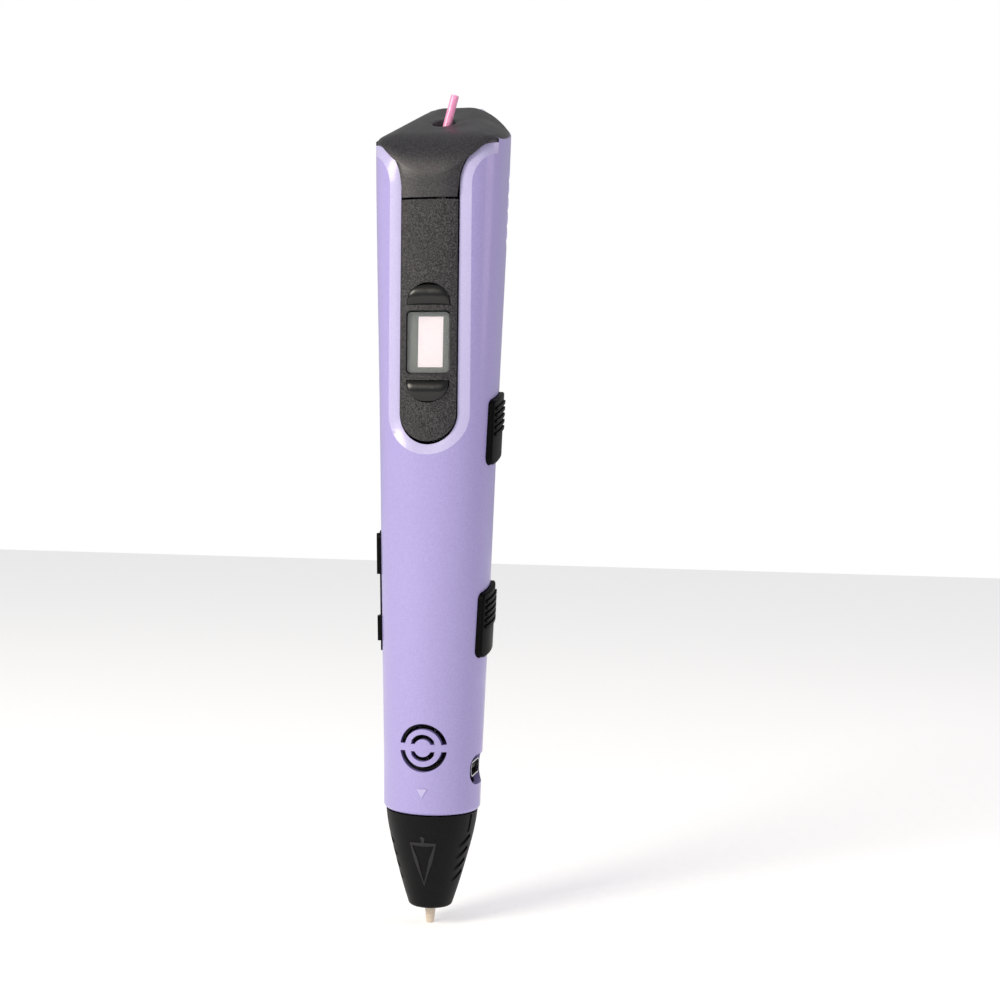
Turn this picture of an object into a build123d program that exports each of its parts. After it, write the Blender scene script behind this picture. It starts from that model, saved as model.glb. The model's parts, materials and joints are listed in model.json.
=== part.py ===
"""3-D drawing pen: an upright hand-held filament extruder, nozzle tip at the origin, +Z up.

The display faces -Y and the feed buttons are on the +X side. All sizes are in millimetres.
"""
from build123d import *
import math
import os

# ---------------------------------------------------------------- driving sizes
# Outer body: height, half width and corner power of each cross-section (2 is a circle).
BODY_STATIONS = (
    (24.9, 10.40, 2.0),
    (45.0, 10.88, 2.0),
    (70.0, 11.60, 2.1),
    (100.0, 12.30, 2.35),
    (130.0, 13.10, 2.6),
    (160.0, 13.90, 2.8),
    (190.0, 14.20, 2.85),
)
SECTION_POINTS = 24
SEAM_AT_BACK, SEAM_AT_FRONT = math.radians(30), math.radians(-90)  # where a section's curve starts and ends
WALL = 1.5
SEAM_GAP = 0.12
SHELL_SPLIT_Y = 1.0
EDGE_ROUND = 1.1

# Slanted top: a central plane that rises to the back and two falling side planes.
TOP_SLOPE = 26.0
TOP_FRONT_Y = -14.0
TOP_ROUND_START_Z = 157.7
TOP_FRONT_ROUND = 13.0
HIP_HEIGHT, HIP_RISE, HIP_FALL = 179.58, 0.279, 0.72
HIP_ROUND = 6.0
LID_DEPTH = 0.6
LID_THICKNESS = 1.8
LID_FRONT_Y = -7.0

# Control panel opening: straight sides, half-round foot, flared shoulders.
PANEL_HALF = 6.35
PANEL_FOOT_Z = 109.55
PANEL_TOP_Z = 154.1
SHOULDER_X, SHOULDER_Z = 17.0, 157.0
PANEL_SINK, PANEL_T = 0.3, 1.5

# Display and the two half-moon keys.
LENS_W, LENS_H, LENS_Z, LENS_T = 9.4, 13.2, 124.2, 1.0
LCD_W, LCD_H = 8.4, 12.0
MOON_R = 4.7
MOON_UP_Z, MOON_DOWN_Z = 132.0, 116.3
MOON_PROUD = 0.55
KEY_GAP = 0.15
KEY_TRAVEL = 0.5

# Side feed buttons and speed rocker.
SIDE_BUTTONS = {"feed": 106.9, "retract": 66.0}
SIDE_W, SIDE_H, SIDE_SKEW = 11.4, 14.2, 3.0
SIDE_PROUD, SIDE_TRAVEL = 1.1, 0.6
RIB_COUNT, RIB_PITCH = 5, 1.35
ROCKER_Z, ROCKER_H, ROCKER_W = 71.4, 26.6, 7.4
ROCKER_PIVOT_X, ROCKER_GAP = -7.6, 0.3

# Black rear grip cover.
REAR_Z0, REAR_Z1, REAR_FRONT_Y, REAR_T = 74.0, 138.0, 6.4, 0.8

# Cooling vent and its fan.
VENT_Z, VENT_OUTER, VENT_INNER, VENT_SLOT, VENT_BRIDGE = 39.2, 5.0, 2.7, 0.85, 1.5
FAN_R, FAN_DEPTH, FAN_Y, FAN_HUB, FAN_BLADES = 5.2, 4.0, -7.4, 1.9, 7

# Filament line, drive and hot end.
FILAMENT_R = 0.875
GUIDE_R, GUIDE_BORE = 1.5, 1.1
FEED_Z = 90.0
DRIVE_R, IDLER_R, RUN_GAP = 3.2, 2.6, 0.04
GEAR_MODULE, DRIVE_TEETH, PINION_TEETH, GEAR_X0, GEAR_X1 = 0.4, 18, 12, 4.8, 6.4
SHAFT_R, SHAFT_GAP = 1.0, 0.05
MOTOR_R, MOTOR_Y, MOTOR_Z0, MOTOR_Z1 = 4.0, 6.0, 103.0, 137.0

# Nose.
CONE_PROFILE = ((4.55, 4.0), (6.35, 9.6), (7.75, 14.6), (9.1, 20.0), (9.85, 24.7))
CONE_WALL = 1.3
NOZZLE_ORIFICE = 0.35

# Power inlet.
PORT_Z, PORT_W, PORT_H, PORT_X = 34.0, 8.94, 3.2, 9.3

# Casing screws: x, z and head y of each pair, and the screw itself.
CASE_SCREWS = ((8.6, 89.0, 6.0), (9.0, 134.0, 8.1))
SCREW_R, SCREW_HEAD_R, SCREW_HEAD_T = 0.9, 1.4, 1.0
BOSS_R = 1.75

# Filament funnel in the cap, and the visible end of the filament.
FUNNEL_R, FUNNEL_Z0, MOUTH_R = 3.4, 160.0, 2.5
FILAMENT_Z0, FILAMENT_BEND_Z, FILAMENT_BEND_R = 9.5, 168.0, 14.0
FILAMENT_LEAN, FILAMENT_OUT = 14.5, 7.2

# Feeder frame and idler.
PLATE_X0, PLATE_X1 = 3.6, 4.4
IDLER_PIVOT = (-6.2, 85.4)

# Boards and switches.
PCB_Y, SWITCH_H = -6.6, 1.5
KEY_FLANGE_DROP, LCD_DROP = 1.0, 0.75
ROCKER_LOW, ROCKER_HIGH, ROCKER_EDGE_X = 0.35, 1.0, 10.5
NOSE_HOLE_R = 1.45
PORT_X0, PORT_OPEN_W, PORT_OPEN_H = 4.2, 10.4, 6.4

PARTS = {}


def add(name, shape):
    """Keep a finished piece under its node name."""
    solids = shape.solids()
    PARTS[name] = solids[0] if len(solids) == 1 else Compound(children=list(solids))


def axis_cylinder(radius, length, at, axis):
    """A cylinder that starts at a point and runs along an axis."""
    on_end = (Align.CENTER, Align.CENTER, Align.MIN)
    return Plane(origin=at, z_dir=axis) * Cylinder(radius, length, align=on_end)


def block(x0, x1, y0, y1, z0, z1):
    """A box between two corners."""
    return Pos((x0 + x1) / 2, (y0 + y1) / 2, (z0 + z1) / 2) * Box(x1 - x0, y1 - y0, z1 - z0)


def front_prism(sketch, y0, y1):
    """A sketch drawn in X and Z, pushed through from y0 to y1."""
    face = Plane(origin=(0, y1, 0), x_dir=(1, 0, 0), z_dir=(0, -1, 0)) * sketch
    return extrude(face, amount=y1 - y0)


def side_prism(sketch, x0, x1):
    """A sketch drawn in Y and Z, pushed through from x0 to x1."""
    face = Plane(origin=(x0, 0, 0), x_dir=(0, 1, 0), z_dir=(1, 0, 0)) * sketch
    return extrude(face, amount=x1 - x0)


def turned(points):
    """A solid turned about Z from a closed outline of (radius, z) points."""
    outline = Plane.XZ * make_face(Polyline(*points, close=True))
    return revolve(outline, axis=Axis.Z)


# ---------------------------------------------------------------- outer form
def body_section(z, half, power, seam):
    """One rounded-square cross-section of the body, its curve starting at the seam angle."""
    points = []
    for step in range(SECTION_POINTS):
        angle = math.tau * step / SECTION_POINTS + seam
        c, s = math.cos(angle), math.sin(angle)
        x = math.copysign(abs(c) ** (2 / power), c) * half
        y = math.copysign(abs(s) ** (2 / power), s) * half
        points.append((x, y, z))
    return Face(Wire([Spline(points, periodic=True)]))


def envelope(inset=0.0, seam=SEAM_AT_BACK):
    """The body's lofted form without its top cut, drawn in by an inset."""
    return loft([body_section(z, half - inset, power, seam) for z, half, power in BODY_STATIONS])


def roof(drop=0.0):
    """The space under the slanted, hipped top, lowered by a drop."""
    slope = math.radians(TOP_SLOPE)
    centre_y = TOP_FRONT_Y + TOP_FRONT_ROUND
    top = (centre_y - TOP_FRONT_ROUND * math.sin(slope), TOP_ROUND_START_Z + TOP_FRONT_ROUND * math.cos(slope))
    turn = (math.pi / 2 - slope) / 2
    middle = (
        centre_y - TOP_FRONT_ROUND * math.cos(turn),
        TOP_ROUND_START_Z + TOP_FRONT_ROUND * math.sin(turn),
    )
    far = 40.0
    start = (TOP_FRONT_Y, TOP_ROUND_START_Z)
    lines = Polyline(start, (-far, TOP_ROUND_START_Z), (-far, 0), (far, 0),
                     (far, top[1] + (far - top[0]) * math.tan(slope)), top)
    profile = make_face(lines + ThreePointArc(top, middle, start))
    solid = side_prism(profile, -far, far)
    for side in (-1, 1):
        hip = Plane(origin=(0, 0, HIP_HEIGHT), z_dir=(side * HIP_FALL, -HIP_RISE, 1))
        solid -= hip * Box(6 * far, 6 * far, far, align=(Align.CENTER, Align.CENTER, Align.MIN))
    return Pos(0, 0, -drop) * solid


def panel_outline(grow=0.0, top=PANEL_TOP_Z):
    """The control panel's outline in X and Z: straight sides and a half-round foot."""
    half = PANEL_HALF + grow
    foot = Pos(0, PANEL_FOOT_Z) * Circle(half)
    return foot + Pos(0, (PANEL_FOOT_Z + top) / 2) * Rectangle(2 * half, top - PANEL_FOOT_Z)


def shoulder_outline(grow=0.0, bottom=PANEL_TOP_Z):
    """The cap's outline in X and Z: it flares from the panel's width to the full body."""
    half, high = PANEL_HALF + grow, 200.0
    radius = SHOULDER_X - half
    arc_mid = (SHOULDER_X - radius * math.cos(math.pi / 4), SHOULDER_Z + radius * math.sin(math.pi / 4))
    right = Polyline((0, high), (0, bottom), (half, bottom), (half, SHOULDER_Z))
    right += ThreePointArc((half, SHOULDER_Z), arc_mid, (SHOULDER_X, SHOULDER_Z + radius))
    right += Polyline((SHOULDER_X, SHOULDER_Z + radius), (SHOULDER_X, high), (0, high))
    face = make_face(right)
    return face + mirror(face, about=Plane.YZ)


def front_y(z, inset=0.0):
    """The body's frontmost y at a height."""
    for (z0, h0, _), (z1, h1, _) in zip(BODY_STATIONS, BODY_STATIONS[1:]):
        if z <= z1:
            return -(h0 + (h1 - h0) * (z - z0) / (z1 - z0) - inset)
    return -(BODY_STATIONS[-1][1] - inset)


def moon(radius, flat_z, up):
    """A half-moon outline whose flat side is at flat_z."""
    disc = Pos(0, flat_z) * Circle(radius)
    keep = Pos(0, flat_z + (radius if up else -radius)) * Rectangle(4 * radius, 2 * radius)
    return disc & keep


def slanted(width, height, skew, corner):
    """A rounded parallelogram whose top and bottom climb toward +Y."""
    outline = Polyline(
        (-width / 2, -height / 2 - skew / 2), (width / 2, -height / 2 + skew / 2),
        (width / 2, height / 2 + skew / 2), (-width / 2, height / 2 - skew / 2), close=True)
    face = make_face(outline)
    return fillet(face.vertices(), corner)


def try_fillet(shape, edges, radius):
    """Round the edges, in one go where the kernel can, otherwise leave them sharp."""
    try:
        rounded = fillet(edges, radius)
        return rounded if rounded.is_valid and rounded.volume > 0 else shape
    except (ValueError, RuntimeError):
        print("left sharp", len(edges))
        return shape


# ---------------------------------------------------------------- casing
def casing_form(seam):
    """The closed outer form: rounded nose end, hipped top with a soft rim."""
    top = roof()
    creases = [e for e in top.edges() if e.center().Z > 175 and 5 < abs(e.center().X) < 7]
    form = envelope(0, seam) & try_fillet(top, creases, HIP_ROUND)
    form = try_fillet(form, [e for e in form.edges() if e.center().Z < 26], EDGE_ROUND)
    wall = max(form.faces(), key=lambda f: f.area)
    rim = [e for e in wall.edges() if e.center().Z > 150 and e.length < 60]
    return try_fillet(form, rim, EDGE_ROUND)


OUTER = casing_form(SEAM_AT_BACK)
OUTER_BACK = casing_form(SEAM_AT_FRONT)


def wall_x(z, y, inset=0.0):
    """Half the body's width in x at a height and a depth."""
    for (z0, h0, p0), (z1, h1, p1) in zip(BODY_STATIONS, BODY_STATIONS[1:]):
        if z <= z1:
            share = (z - z0) / (z1 - z0)
            half, power = h0 + (h1 - h0) * share - inset, p0 + (p1 - p0) * share
            return half * (1 - (abs(y) / half) ** power) ** (1 / power)
    return 0.0


def front_region(grow=0.0):
    """Everything in front that belongs to the panel and the cap."""
    panel = front_prism(panel_outline(grow), -30, LID_FRONT_Y)
    return panel + front_prism(shoulder_outline(grow), -30, LID_FRONT_Y)


def vent_slots():
    """Two broken rings of slots in front of the fan."""
    rings = Sketch()
    for radius in (VENT_OUTER, VENT_INNER):
        ring = Circle(radius) - Circle(radius - VENT_SLOT)
        rings += ring - Rectangle(3 * VENT_OUTER, VENT_BRIDGE)
    return front_prism(Pos(0, VENT_Z) * rings, -30, FAN_Y)


def rear_zone(grow=0.0):
    """The space behind the sides, over the rear cover's height."""
    z0, z1 = REAR_Z0 - grow, REAR_Z1 + grow
    return block(-30, 30, REAR_FRONT_Y - grow, 30, z0, z1)


def screw_places():
    """x, z and head y of each casing screw."""
    return [(side * x, z, y) for x, z, y in CASE_SCREWS for side in (-1, 1)]


def side_outline(z, grow=0.0):
    """A feed button's outline in Y and Z."""
    return Pos(0, z) * slanted(SIDE_W + 2 * grow, SIDE_H + 2 * grow, SIDE_SKEW, 1.6)


def rocker_outline(grow=0.0):
    """The speed rocker's outline in Y and Z."""
    return Pos(0, ROCKER_Z) * RectangleRounded(ROCKER_W + 2 * grow, ROCKER_H + 2 * grow, 1.8)


def make_shells():
    """The front and rear halves of the casing."""
    openings = {
        "front_shell": [front_region(), vent_slots()],
        "rear_shell": [rear_zone() - envelope(REAR_T, SEAM_AT_FRONT)],
    }
    port = side_prism(Pos(0, PORT_Z) * RectangleRounded(PORT_OPEN_W, PORT_OPEN_H, 2.6), 5, 30)
    shared = [side_prism(side_outline(z), 5, 30) for z in SIDE_BUTTONS.values()]
    shared += [side_prism(rocker_outline(), -30, -5), port]
    halves = {"front_shell": block(-30, 30, -30, SHELL_SPLIT_Y, 0, 200),
              "rear_shell": block(-30, 30, SHELL_SPLIT_Y, 30, 0, 200)}
    walls = {"front_shell": OUTER - envelope(WALL),
             "rear_shell": OUTER_BACK - envelope(WALL, SEAM_AT_FRONT)}
    for name, space in halves.items():
        half = walls[name] & roof(LID_DEPTH) & space
        for opening in openings[name] + shared:
            half -= opening
        for x, z, head_y in screw_places():
            low_y, high_y = (-head_y, SHELL_SPLIT_Y) if name == "front_shell" else (SHELL_SPLIT_Y, head_y)
            boss = axis_cylinder(BOSS_R, high_y - low_y, (x, low_y, z), (0, 1, 0))
            bore = axis_cylinder(SCREW_R, 40, (x, 1 - head_y, z), (0, 1, 0))
            head = axis_cylinder(SCREW_HEAD_R + SEAM_GAP, 10, (x, head_y - SCREW_HEAD_T, z), (0, 1, 0))
            half = half + boss - bore - head
        add(name, half)


def make_rear_cover():
    """The black grip let into the back."""
    cover = (OUTER & rear_zone(-SEAM_GAP)) - envelope(REAR_T)
    add("rear_cover", cover)


def make_cap():
    """The black cap: slanted lid, flared front and the filament funnel."""
    lid = (OUTER & roof()) - roof(LID_DEPTH)
    front = (envelope(PANEL_SINK) & roof() & front_prism(shoulder_outline(-SEAM_GAP), -30, LID_FRONT_Y))
    hollow = envelope(WALL + PANEL_SINK) & roof(LID_THICKNESS)
    skirt = (envelope(WALL + SEAM_GAP) & roof(LID_DEPTH)) - roof(LID_THICKNESS)
    funnel = Pos(0, 0, FUNNEL_Z0) * Cylinder(FUNNEL_R, 40, align=(Align.CENTER, Align.CENTER, Align.MIN))
    body = (lid + skirt + front - hollow) + (funnel & roof(LID_DEPTH / 2))
    mouth = turned(((0, FUNNEL_Z0 - 1), (GUIDE_R, FUNNEL_Z0 - 1), (GUIDE_R, FUNNEL_Z0 + 3),
                    (GUIDE_BORE, FUNNEL_Z0 + 3), (GUIDE_BORE, 167.0), (MOUTH_R, 170.0),
                    (MOUTH_R, 185.0), (0, 185.0)))
    add("top_cap", body - mouth)


def make_panel():
    """The black control panel with its display and key openings."""
    plate = envelope(PANEL_SINK) - envelope(PANEL_SINK + PANEL_T)
    plate &= front_prism(panel_outline(-SEAM_GAP), -30, 0)
    window = Pos(0, LENS_Z) * RectangleRounded(LENS_W, LENS_H, 0.9)
    plate -= front_prism(window, -30, 0)
    for flat_z, up in ((MOON_UP_Z, True), (MOON_DOWN_Z, False)):
        plate -= front_prism(moon(MOON_R, flat_z, up), -30, 0)
    add("control_panel", plate)


def make_display():
    """The tinted lens, the liquid-crystal glass and its backlight."""
    lens = Pos(0, LENS_Z) * RectangleRounded(LENS_W - 2 * 0.05, LENS_H - 2 * 0.05, 0.85)
    add("display_lens", (envelope(PANEL_SINK) - envelope(PANEL_SINK + LENS_T)) & front_prism(lens, -30, 0))
    back = front_y(LENS_Z, PANEL_SINK + LENS_T + LCD_DROP)
    glass_y1 = back + 1.0
    z0, z1 = LENS_Z - LCD_H / 2, LENS_Z + LCD_H / 2
    add("lcd_glass", block(-LCD_W / 2, LCD_W / 2, back, glass_y1, z0, z1))
    add("lcd_backlight", block(-LCD_W / 2, LCD_W / 2, glass_y1, glass_y1 + 1.0, z0, z1))


def make_moon_keys():
    """The two half-moon keys beside the display, each with its flange and stem."""
    for name, flat_z, up in (("up_key", MOON_UP_Z, True), ("down_key", MOON_DOWN_Z, False)):
        shift = 0.1 if up else -0.1
        face_y = front_y(flat_z, PANEL_SINK) - MOON_PROUD
        inner_y = front_y(flat_z, PANEL_SINK + PANEL_T) + KEY_FLANGE_DROP
        top = front_prism(moon(MOON_R - KEY_GAP, flat_z + shift, up), face_y, inner_y)
        outer = [e for e in top.edges() if e.center().Y < face_y + 0.01]
        top = try_fillet(top, outer, 0.45)
        flange = front_prism(moon(MOON_R + 0.6, flat_z - shift * 4, up), inner_y, inner_y + 0.7)
        stem_z = flat_z + (2.0 if up else -2.0)
        stem_end = PCB_Y - SWITCH_H - KEY_TRAVEL - 0.05
        stem = axis_cylinder(0.8, stem_end - inner_y, (0, inner_y, stem_z), (0, 1, 0))
        add(name, top + flange + stem)


def make_side_buttons():
    """The ribbed feed and retract buttons on the right side."""
    for name, z in SIDE_BUTTONS.items():
        flange_x = wall_x(z, SIDE_W / 2 + 0.7, WALL) - 0.15
        pad = envelope(-SIDE_PROUD) & side_prism(side_outline(z, -KEY_GAP), flange_x - 0.5, 30)
        rim = max(pad.faces(), key=lambda f: f.center().X)
        pad = try_fillet(pad, rim.edges(), 0.5)
        ribs = Sketch()
        for rib in range(RIB_COUNT):
            offset = (rib - 0.4) * RIB_PITCH
            ribs += Pos(-0.6, z + offset) * Rot(0, 0, math.degrees(math.atan2(SIDE_SKEW, SIDE_W))) \
                * SlotOverall(SIDE_W * 0.72, 0.7)
        pad += envelope(-SIDE_PROUD - 0.35) & side_prism(ribs, flange_x, 30)
        flange = side_prism(side_outline(z, 0.5), flange_x - 0.9, flange_x)
        add(name + "_button", pad + flange)


def make_rocker():
    """The speed rocker on the left side and its pivot pin."""
    inner_x = ROCKER_PIVOT_X + 2.0
    plan = side_prism(rocker_outline(-ROCKER_GAP), -30, ROCKER_PIVOT_X)
    low_z = ROCKER_Z + ROCKER_H / 2
    strips = (block(-30, 0, -20, 20, low_z - 0.9, low_z + 9) + block(-30, 0, -20, 20, low_z - 18.7, low_z - 9.7)
              + block(-30, 0, -20, 20, low_z - 36, low_z - 24.0))
    low_caps = (envelope(-ROCKER_HIGH) & plan) - (strips - envelope(-ROCKER_LOW))
    hub = axis_cylinder(1.6, ROCKER_W - 2 * ROCKER_GAP,
                        (ROCKER_PIVOT_X, -ROCKER_W / 2 + ROCKER_GAP, ROCKER_Z), (0, 1, 0))
    core = block(ROCKER_EDGE_X * -1, ROCKER_PIVOT_X, -ROCKER_W / 2 + 0.5, ROCKER_W / 2 - 0.5,
                 ROCKER_Z - 1.5, ROCKER_Z + 1.5)
    hollow = block(-9.3, ROCKER_PIVOT_X + 3, -20, 20, 0, ROCKER_Z - 1.5) \
        + block(-9.3, ROCKER_PIVOT_X + 3, -20, 20, ROCKER_Z + 1.5, 200)
    body = (low_caps - hollow) + hub + core
    bore = axis_cylinder(0.8 + SHAFT_GAP, 40, (ROCKER_PIVOT_X, -20, ROCKER_Z), (0, 1, 0))
    add("speed_rocker", body - bore)
    pin = axis_cylinder(0.8, ROCKER_W + 3, (ROCKER_PIVOT_X, -ROCKER_W / 2 - 1.5, ROCKER_Z), (0, 1, 0))
    add("rocker_pin", pin)
    bracket = block(ROCKER_PIVOT_X - 1.0, inner_x, -ROCKER_W / 2 - 1.5, -ROCKER_W / 2 - 0.3,
                    ROCKER_Z - 2, ROCKER_Z + 2)
    bracket += mirror(bracket, about=Plane.XZ)
    side = ROCKER_W / 2 + 1.5
    bracket += block(inner_x, inner_x + 1, -side, side, ROCKER_Z - 11, ROCKER_Z + 11)
    add("rocker_bracket", bracket - axis_cylinder(0.8, 40, (ROCKER_PIVOT_X, -20, ROCKER_Z), (0, 1, 0)))


# ---------------------------------------------------------------- nose and hot end
def make_nose():
    """The black nose cone with a spigot that fits inside the casing."""
    (r0, z0), (r1, z1) = CONE_PROFILE[0], CONE_PROFILE[-1]
    outer = Spline(*CONE_PROFILE)
    spigot_r = BODY_STATIONS[0][1] - WALL - SEAM_GAP
    rest = Polyline((r1, z1), (spigot_r, z1), (spigot_r, z1 + 4), (spigot_r - 1.2, z1 + 4),
                    (spigot_r - 1.2, z1 - 3), (r0 + 0.6, z0 + 3.6), (r0 - CONE_WALL, z0 + 1.6),
                    (NOSE_HOLE_R, z0 + 1.6), (NOSE_HOLE_R, z0), (r0, z0))
    cone = revolve(Plane.XZ * make_face(outer + rest), axis=Axis.Z)
    foot = [e for e in cone.edges() if abs(e.center().Z - z0) < 0.01 and e.length > 20]
    add("nose_cone", try_fillet(cone, foot, 0.9))


def make_hot_end():
    """Nozzle, heated barrel, its heater sleeve, sensor, insulator and carrier ring."""
    add("nozzle", turned(((NOZZLE_ORIFICE, 0), (0.8, 0), (1.27, 4.0), (1.27, 5.9), (2.3, 5.9),
                          (2.3, 9.0), (1.0, 9.0), (1.0, 3.0), (NOZZLE_ORIFICE, 2.2))))
    add("heated_barrel", turned(((1.0, 9.0), (2.6, 9.0), (2.6, 22.0), (1.0, 22.0))))
    add("heater_sleeve", turned(((2.6, 10.0), (3.4, 10.0), (3.4, 19.0), (2.6, 19.0))))
    add("temperature_sensor", axis_cylinder(0.5, 3.0, (0, -3.92, 12.5), (0, 0, 1)))
    add("insulator", turned(((GUIDE_R, 24.5), (1.0, 24.5), (1.0, 22.0), (3.4, 22.0), (3.4, 30.0),
                             (GUIDE_R, 30.0))))
    ring_r = BODY_STATIONS[0][1] - WALL - 0.1
    ring = turned(((3.4, 29.0), (ring_r, 29.0), (ring_r, 30.2), (3.4, 30.2)))
    for turn in range(4):
        ring -= Rot(0, 0, 45 + 90 * turn) * Pos(6.1, 0, 29.6) * Cylinder(1.4, 4)
    add("hot_end_carrier", ring)


# ---------------------------------------------------------------- filament and drive
def make_filament():
    """The loaded filament: straight through the drive, then leaning as it leaves the cap."""
    lean = math.radians(FILAMENT_LEAN)
    bend = FILAMENT_BEND_R
    start = Vector(0, 0, FILAMENT_BEND_Z)
    end = start + Vector(bend * (1 - math.cos(lean)), 0, bend * math.sin(lean))
    middle = start + Vector(bend * (1 - math.cos(lean / 2)), 0, bend * math.sin(lean / 2))
    tip = end + Vector(math.sin(lean), 0, math.cos(lean)) * FILAMENT_OUT
    path = Line((0, 0, FILAMENT_Z0), start) + ThreePointArc(start, middle, end) + Line(end, tip)
    add("filament", sweep(Plane(origin=(0, 0, FILAMENT_Z0)) * Circle(FILAMENT_R), path=path))


def gear(teeth, x0, x1, y, z, bore, phase):
    """A spur gear on an X axis, with straight-flanked teeth."""
    pitch = GEAR_MODULE * teeth / 2
    root, tip = pitch - 1.2 * GEAR_MODULE, pitch + 0.9 * GEAR_MODULE
    step = math.tau / teeth
    points = []
    for tooth in range(teeth):
        centre = phase + tooth * step
        for radius, share in ((root, -0.36), (pitch, -0.225), (tip, -0.12),
                              (tip, 0.12), (pitch, 0.225), (root, 0.36)):
            angle = centre + share * step
            points.append((y + radius * math.cos(angle), z + radius * math.sin(angle)))
    face = make_face(Polyline(*points, close=True)) - Pos(y, z) * Circle(bore)
    return side_prism(face, x0, x1)


def make_drive():
    """The knurled wheel and gear on one shaft, the pinion, and the geared motor that turns it."""
    drive_y = FILAMENT_R + DRIVE_R + RUN_GAP
    pinion_z = FEED_Z + GEAR_MODULE * (DRIVE_TEETH + PINION_TEETH) / 2
    add("drive_shaft", axis_cylinder(SHAFT_R, GEAR_X1 + 5.0, (-4.8, drive_y, FEED_Z), (1, 0, 0)))
    notches = 24
    wheel = Circle(DRIVE_R) - Circle(SHAFT_R)
    for notch in range(notches):
        angle = math.tau * notch / notches
        wheel -= Pos(DRIVE_R * math.cos(angle), DRIVE_R * math.sin(angle)) * Rot(0, 0, math.degrees(angle)) \
            * Rectangle(0.36, 0.36)
    add("drive_wheel", side_prism(Pos(drive_y, FEED_Z) * wheel, -1.5, 1.5))
    add("drive_gear", gear(DRIVE_TEETH, GEAR_X0, GEAR_X1, drive_y, FEED_Z, SHAFT_R, math.pi / 2))
    phase = -math.pi / 2 + math.pi / PINION_TEETH
    add("motor_pinion", gear(PINION_TEETH, GEAR_X0, GEAR_X1, drive_y, pinion_z, SHAFT_R, phase))
    add("pinion_shaft", axis_cylinder(SHAFT_R, GEAR_X1 - 1.0, (1.2, drive_y, pinion_z), (1, 0, 0)))
    head = block(-3.4, 3.4, 1.7, 9.6, 93.6, MOTOR_Z0)
    head = fillet(head.edges().filter_by(Axis.Z), 1.2)
    add("gear_head", head - axis_cylinder(SHAFT_R + SHAFT_GAP, 10, (1.0, drive_y, pinion_z), (1, 0, 0)))
    can = Pos(0, MOTOR_Y, 0) * turned(((0, MOTOR_Z0), (MOTOR_R, MOTOR_Z0), (MOTOR_R, MOTOR_Z1 - 2),
                                       (MOTOR_R - 0.4, MOTOR_Z1 - 1.6), (0, MOTOR_Z1 - 1.6)))
    add("motor_can", can)
    add("motor_end_cap", Pos(0, MOTOR_Y, 0) * turned(((0, MOTOR_Z1 - 1.6), (3.0, MOTOR_Z1 - 1.6),
                                                      (3.0, MOTOR_Z1), (0, MOTOR_Z1))))


def make_feeder():
    """The feeder frame, and the sprung idler that presses the filament on the wheel."""
    drive_y = FILAMENT_R + DRIVE_R + RUN_GAP
    idler_y = -(FILAMENT_R + IDLER_R + RUN_GAP)
    pinion_z = FEED_Z + GEAR_MODULE * (DRIVE_TEETH + PINION_TEETH) / 2
    plate = block(PLATE_X0, PLATE_X1, -8.2, 7.6, 82.0, 101.0)
    frame = plate + mirror(plate, about=Plane.YZ)
    frame += block(-PLATE_X0, PLATE_X0, -4.5, 6.0, 82.0, 84.2)
    frame += block(-PLATE_X0, PLATE_X0, -4.5, 1.5, 97.0, 101.0)
    frame -= axis_cylinder(SHAFT_R + SHAFT_GAP, 40, (-20, drive_y, FEED_Z), (1, 0, 0))
    frame -= axis_cylinder(SHAFT_R + SHAFT_GAP, 20, (0, drive_y, pinion_z), (1, 0, 0))
    frame -= axis_cylinder(0.8, 40, (-20, *IDLER_PIVOT), (1, 0, 0))
    frame -= Pos(0, 0, 90) * Cylinder(GUIDE_BORE, 40)
    frame -= Pos(0, 0, 81) * Cylinder(GUIDE_R, 4) + Pos(0, 0, 102) * Cylinder(GUIDE_R, 5)
    add("feeder_frame", frame)
    y0, z0 = IDLER_PIVOT
    arm_line = Polyline((y0, z0), (idler_y, FEED_Z), (y0 + 0.6, FEED_Z + 5.5))
    cheek = trace(arm_line, 3.0)
    for y, z, r in ((y0, z0, 1.7), (idler_y, FEED_Z, 1.5), (y0 + 0.6, FEED_Z + 5.5, 1.5)):
        cheek += Pos(y, z) * Circle(r)
    cheek -= Pos(0, FEED_Z) * Rectangle(2 * 1.2, 40)
    arm = side_prism(cheek, 1.6, 3.2)
    arm += mirror(arm, about=Plane.YZ)
    arm += axis_cylinder(1.3, 6.0, (-3.0, y0 + 0.6, FEED_Z + 5.5), (1, 0, 0))
    arm -= axis_cylinder(0.8 + SHAFT_GAP, 40, (-20, y0, z0), (1, 0, 0))
    arm -= axis_cylinder(0.7, 40, (-20, idler_y, FEED_Z), (1, 0, 0))
    add("idler_arm", arm)
    add("idler_pivot_pin", axis_cylinder(0.8, 2 * PLATE_X1, (-PLATE_X1, y0, z0), (1, 0, 0)))
    add("idler_axle", axis_cylinder(0.7, 6.4, (-3.2, idler_y, FEED_Z), (1, 0, 0)))
    roller = axis_cylinder(IDLER_R, 2.8, (-1.4, idler_y, FEED_Z), (1, 0, 0))
    add("idler_roller", roller - axis_cylinder(0.7 + SHAFT_GAP, 40, (-20, idler_y, FEED_Z), (1, 0, 0)))
    coil = Plane(origin=(-1.3, y0, z0), z_dir=(1, 0, 0)) * Helix(pitch=0.5, height=2.6, radius=1.15)
    section = Plane(origin=coil @ 0, z_dir=coil % 0) * Circle(0.17)
    add("idler_spring", sweep(section, path=coil, is_frenet=True))


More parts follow.
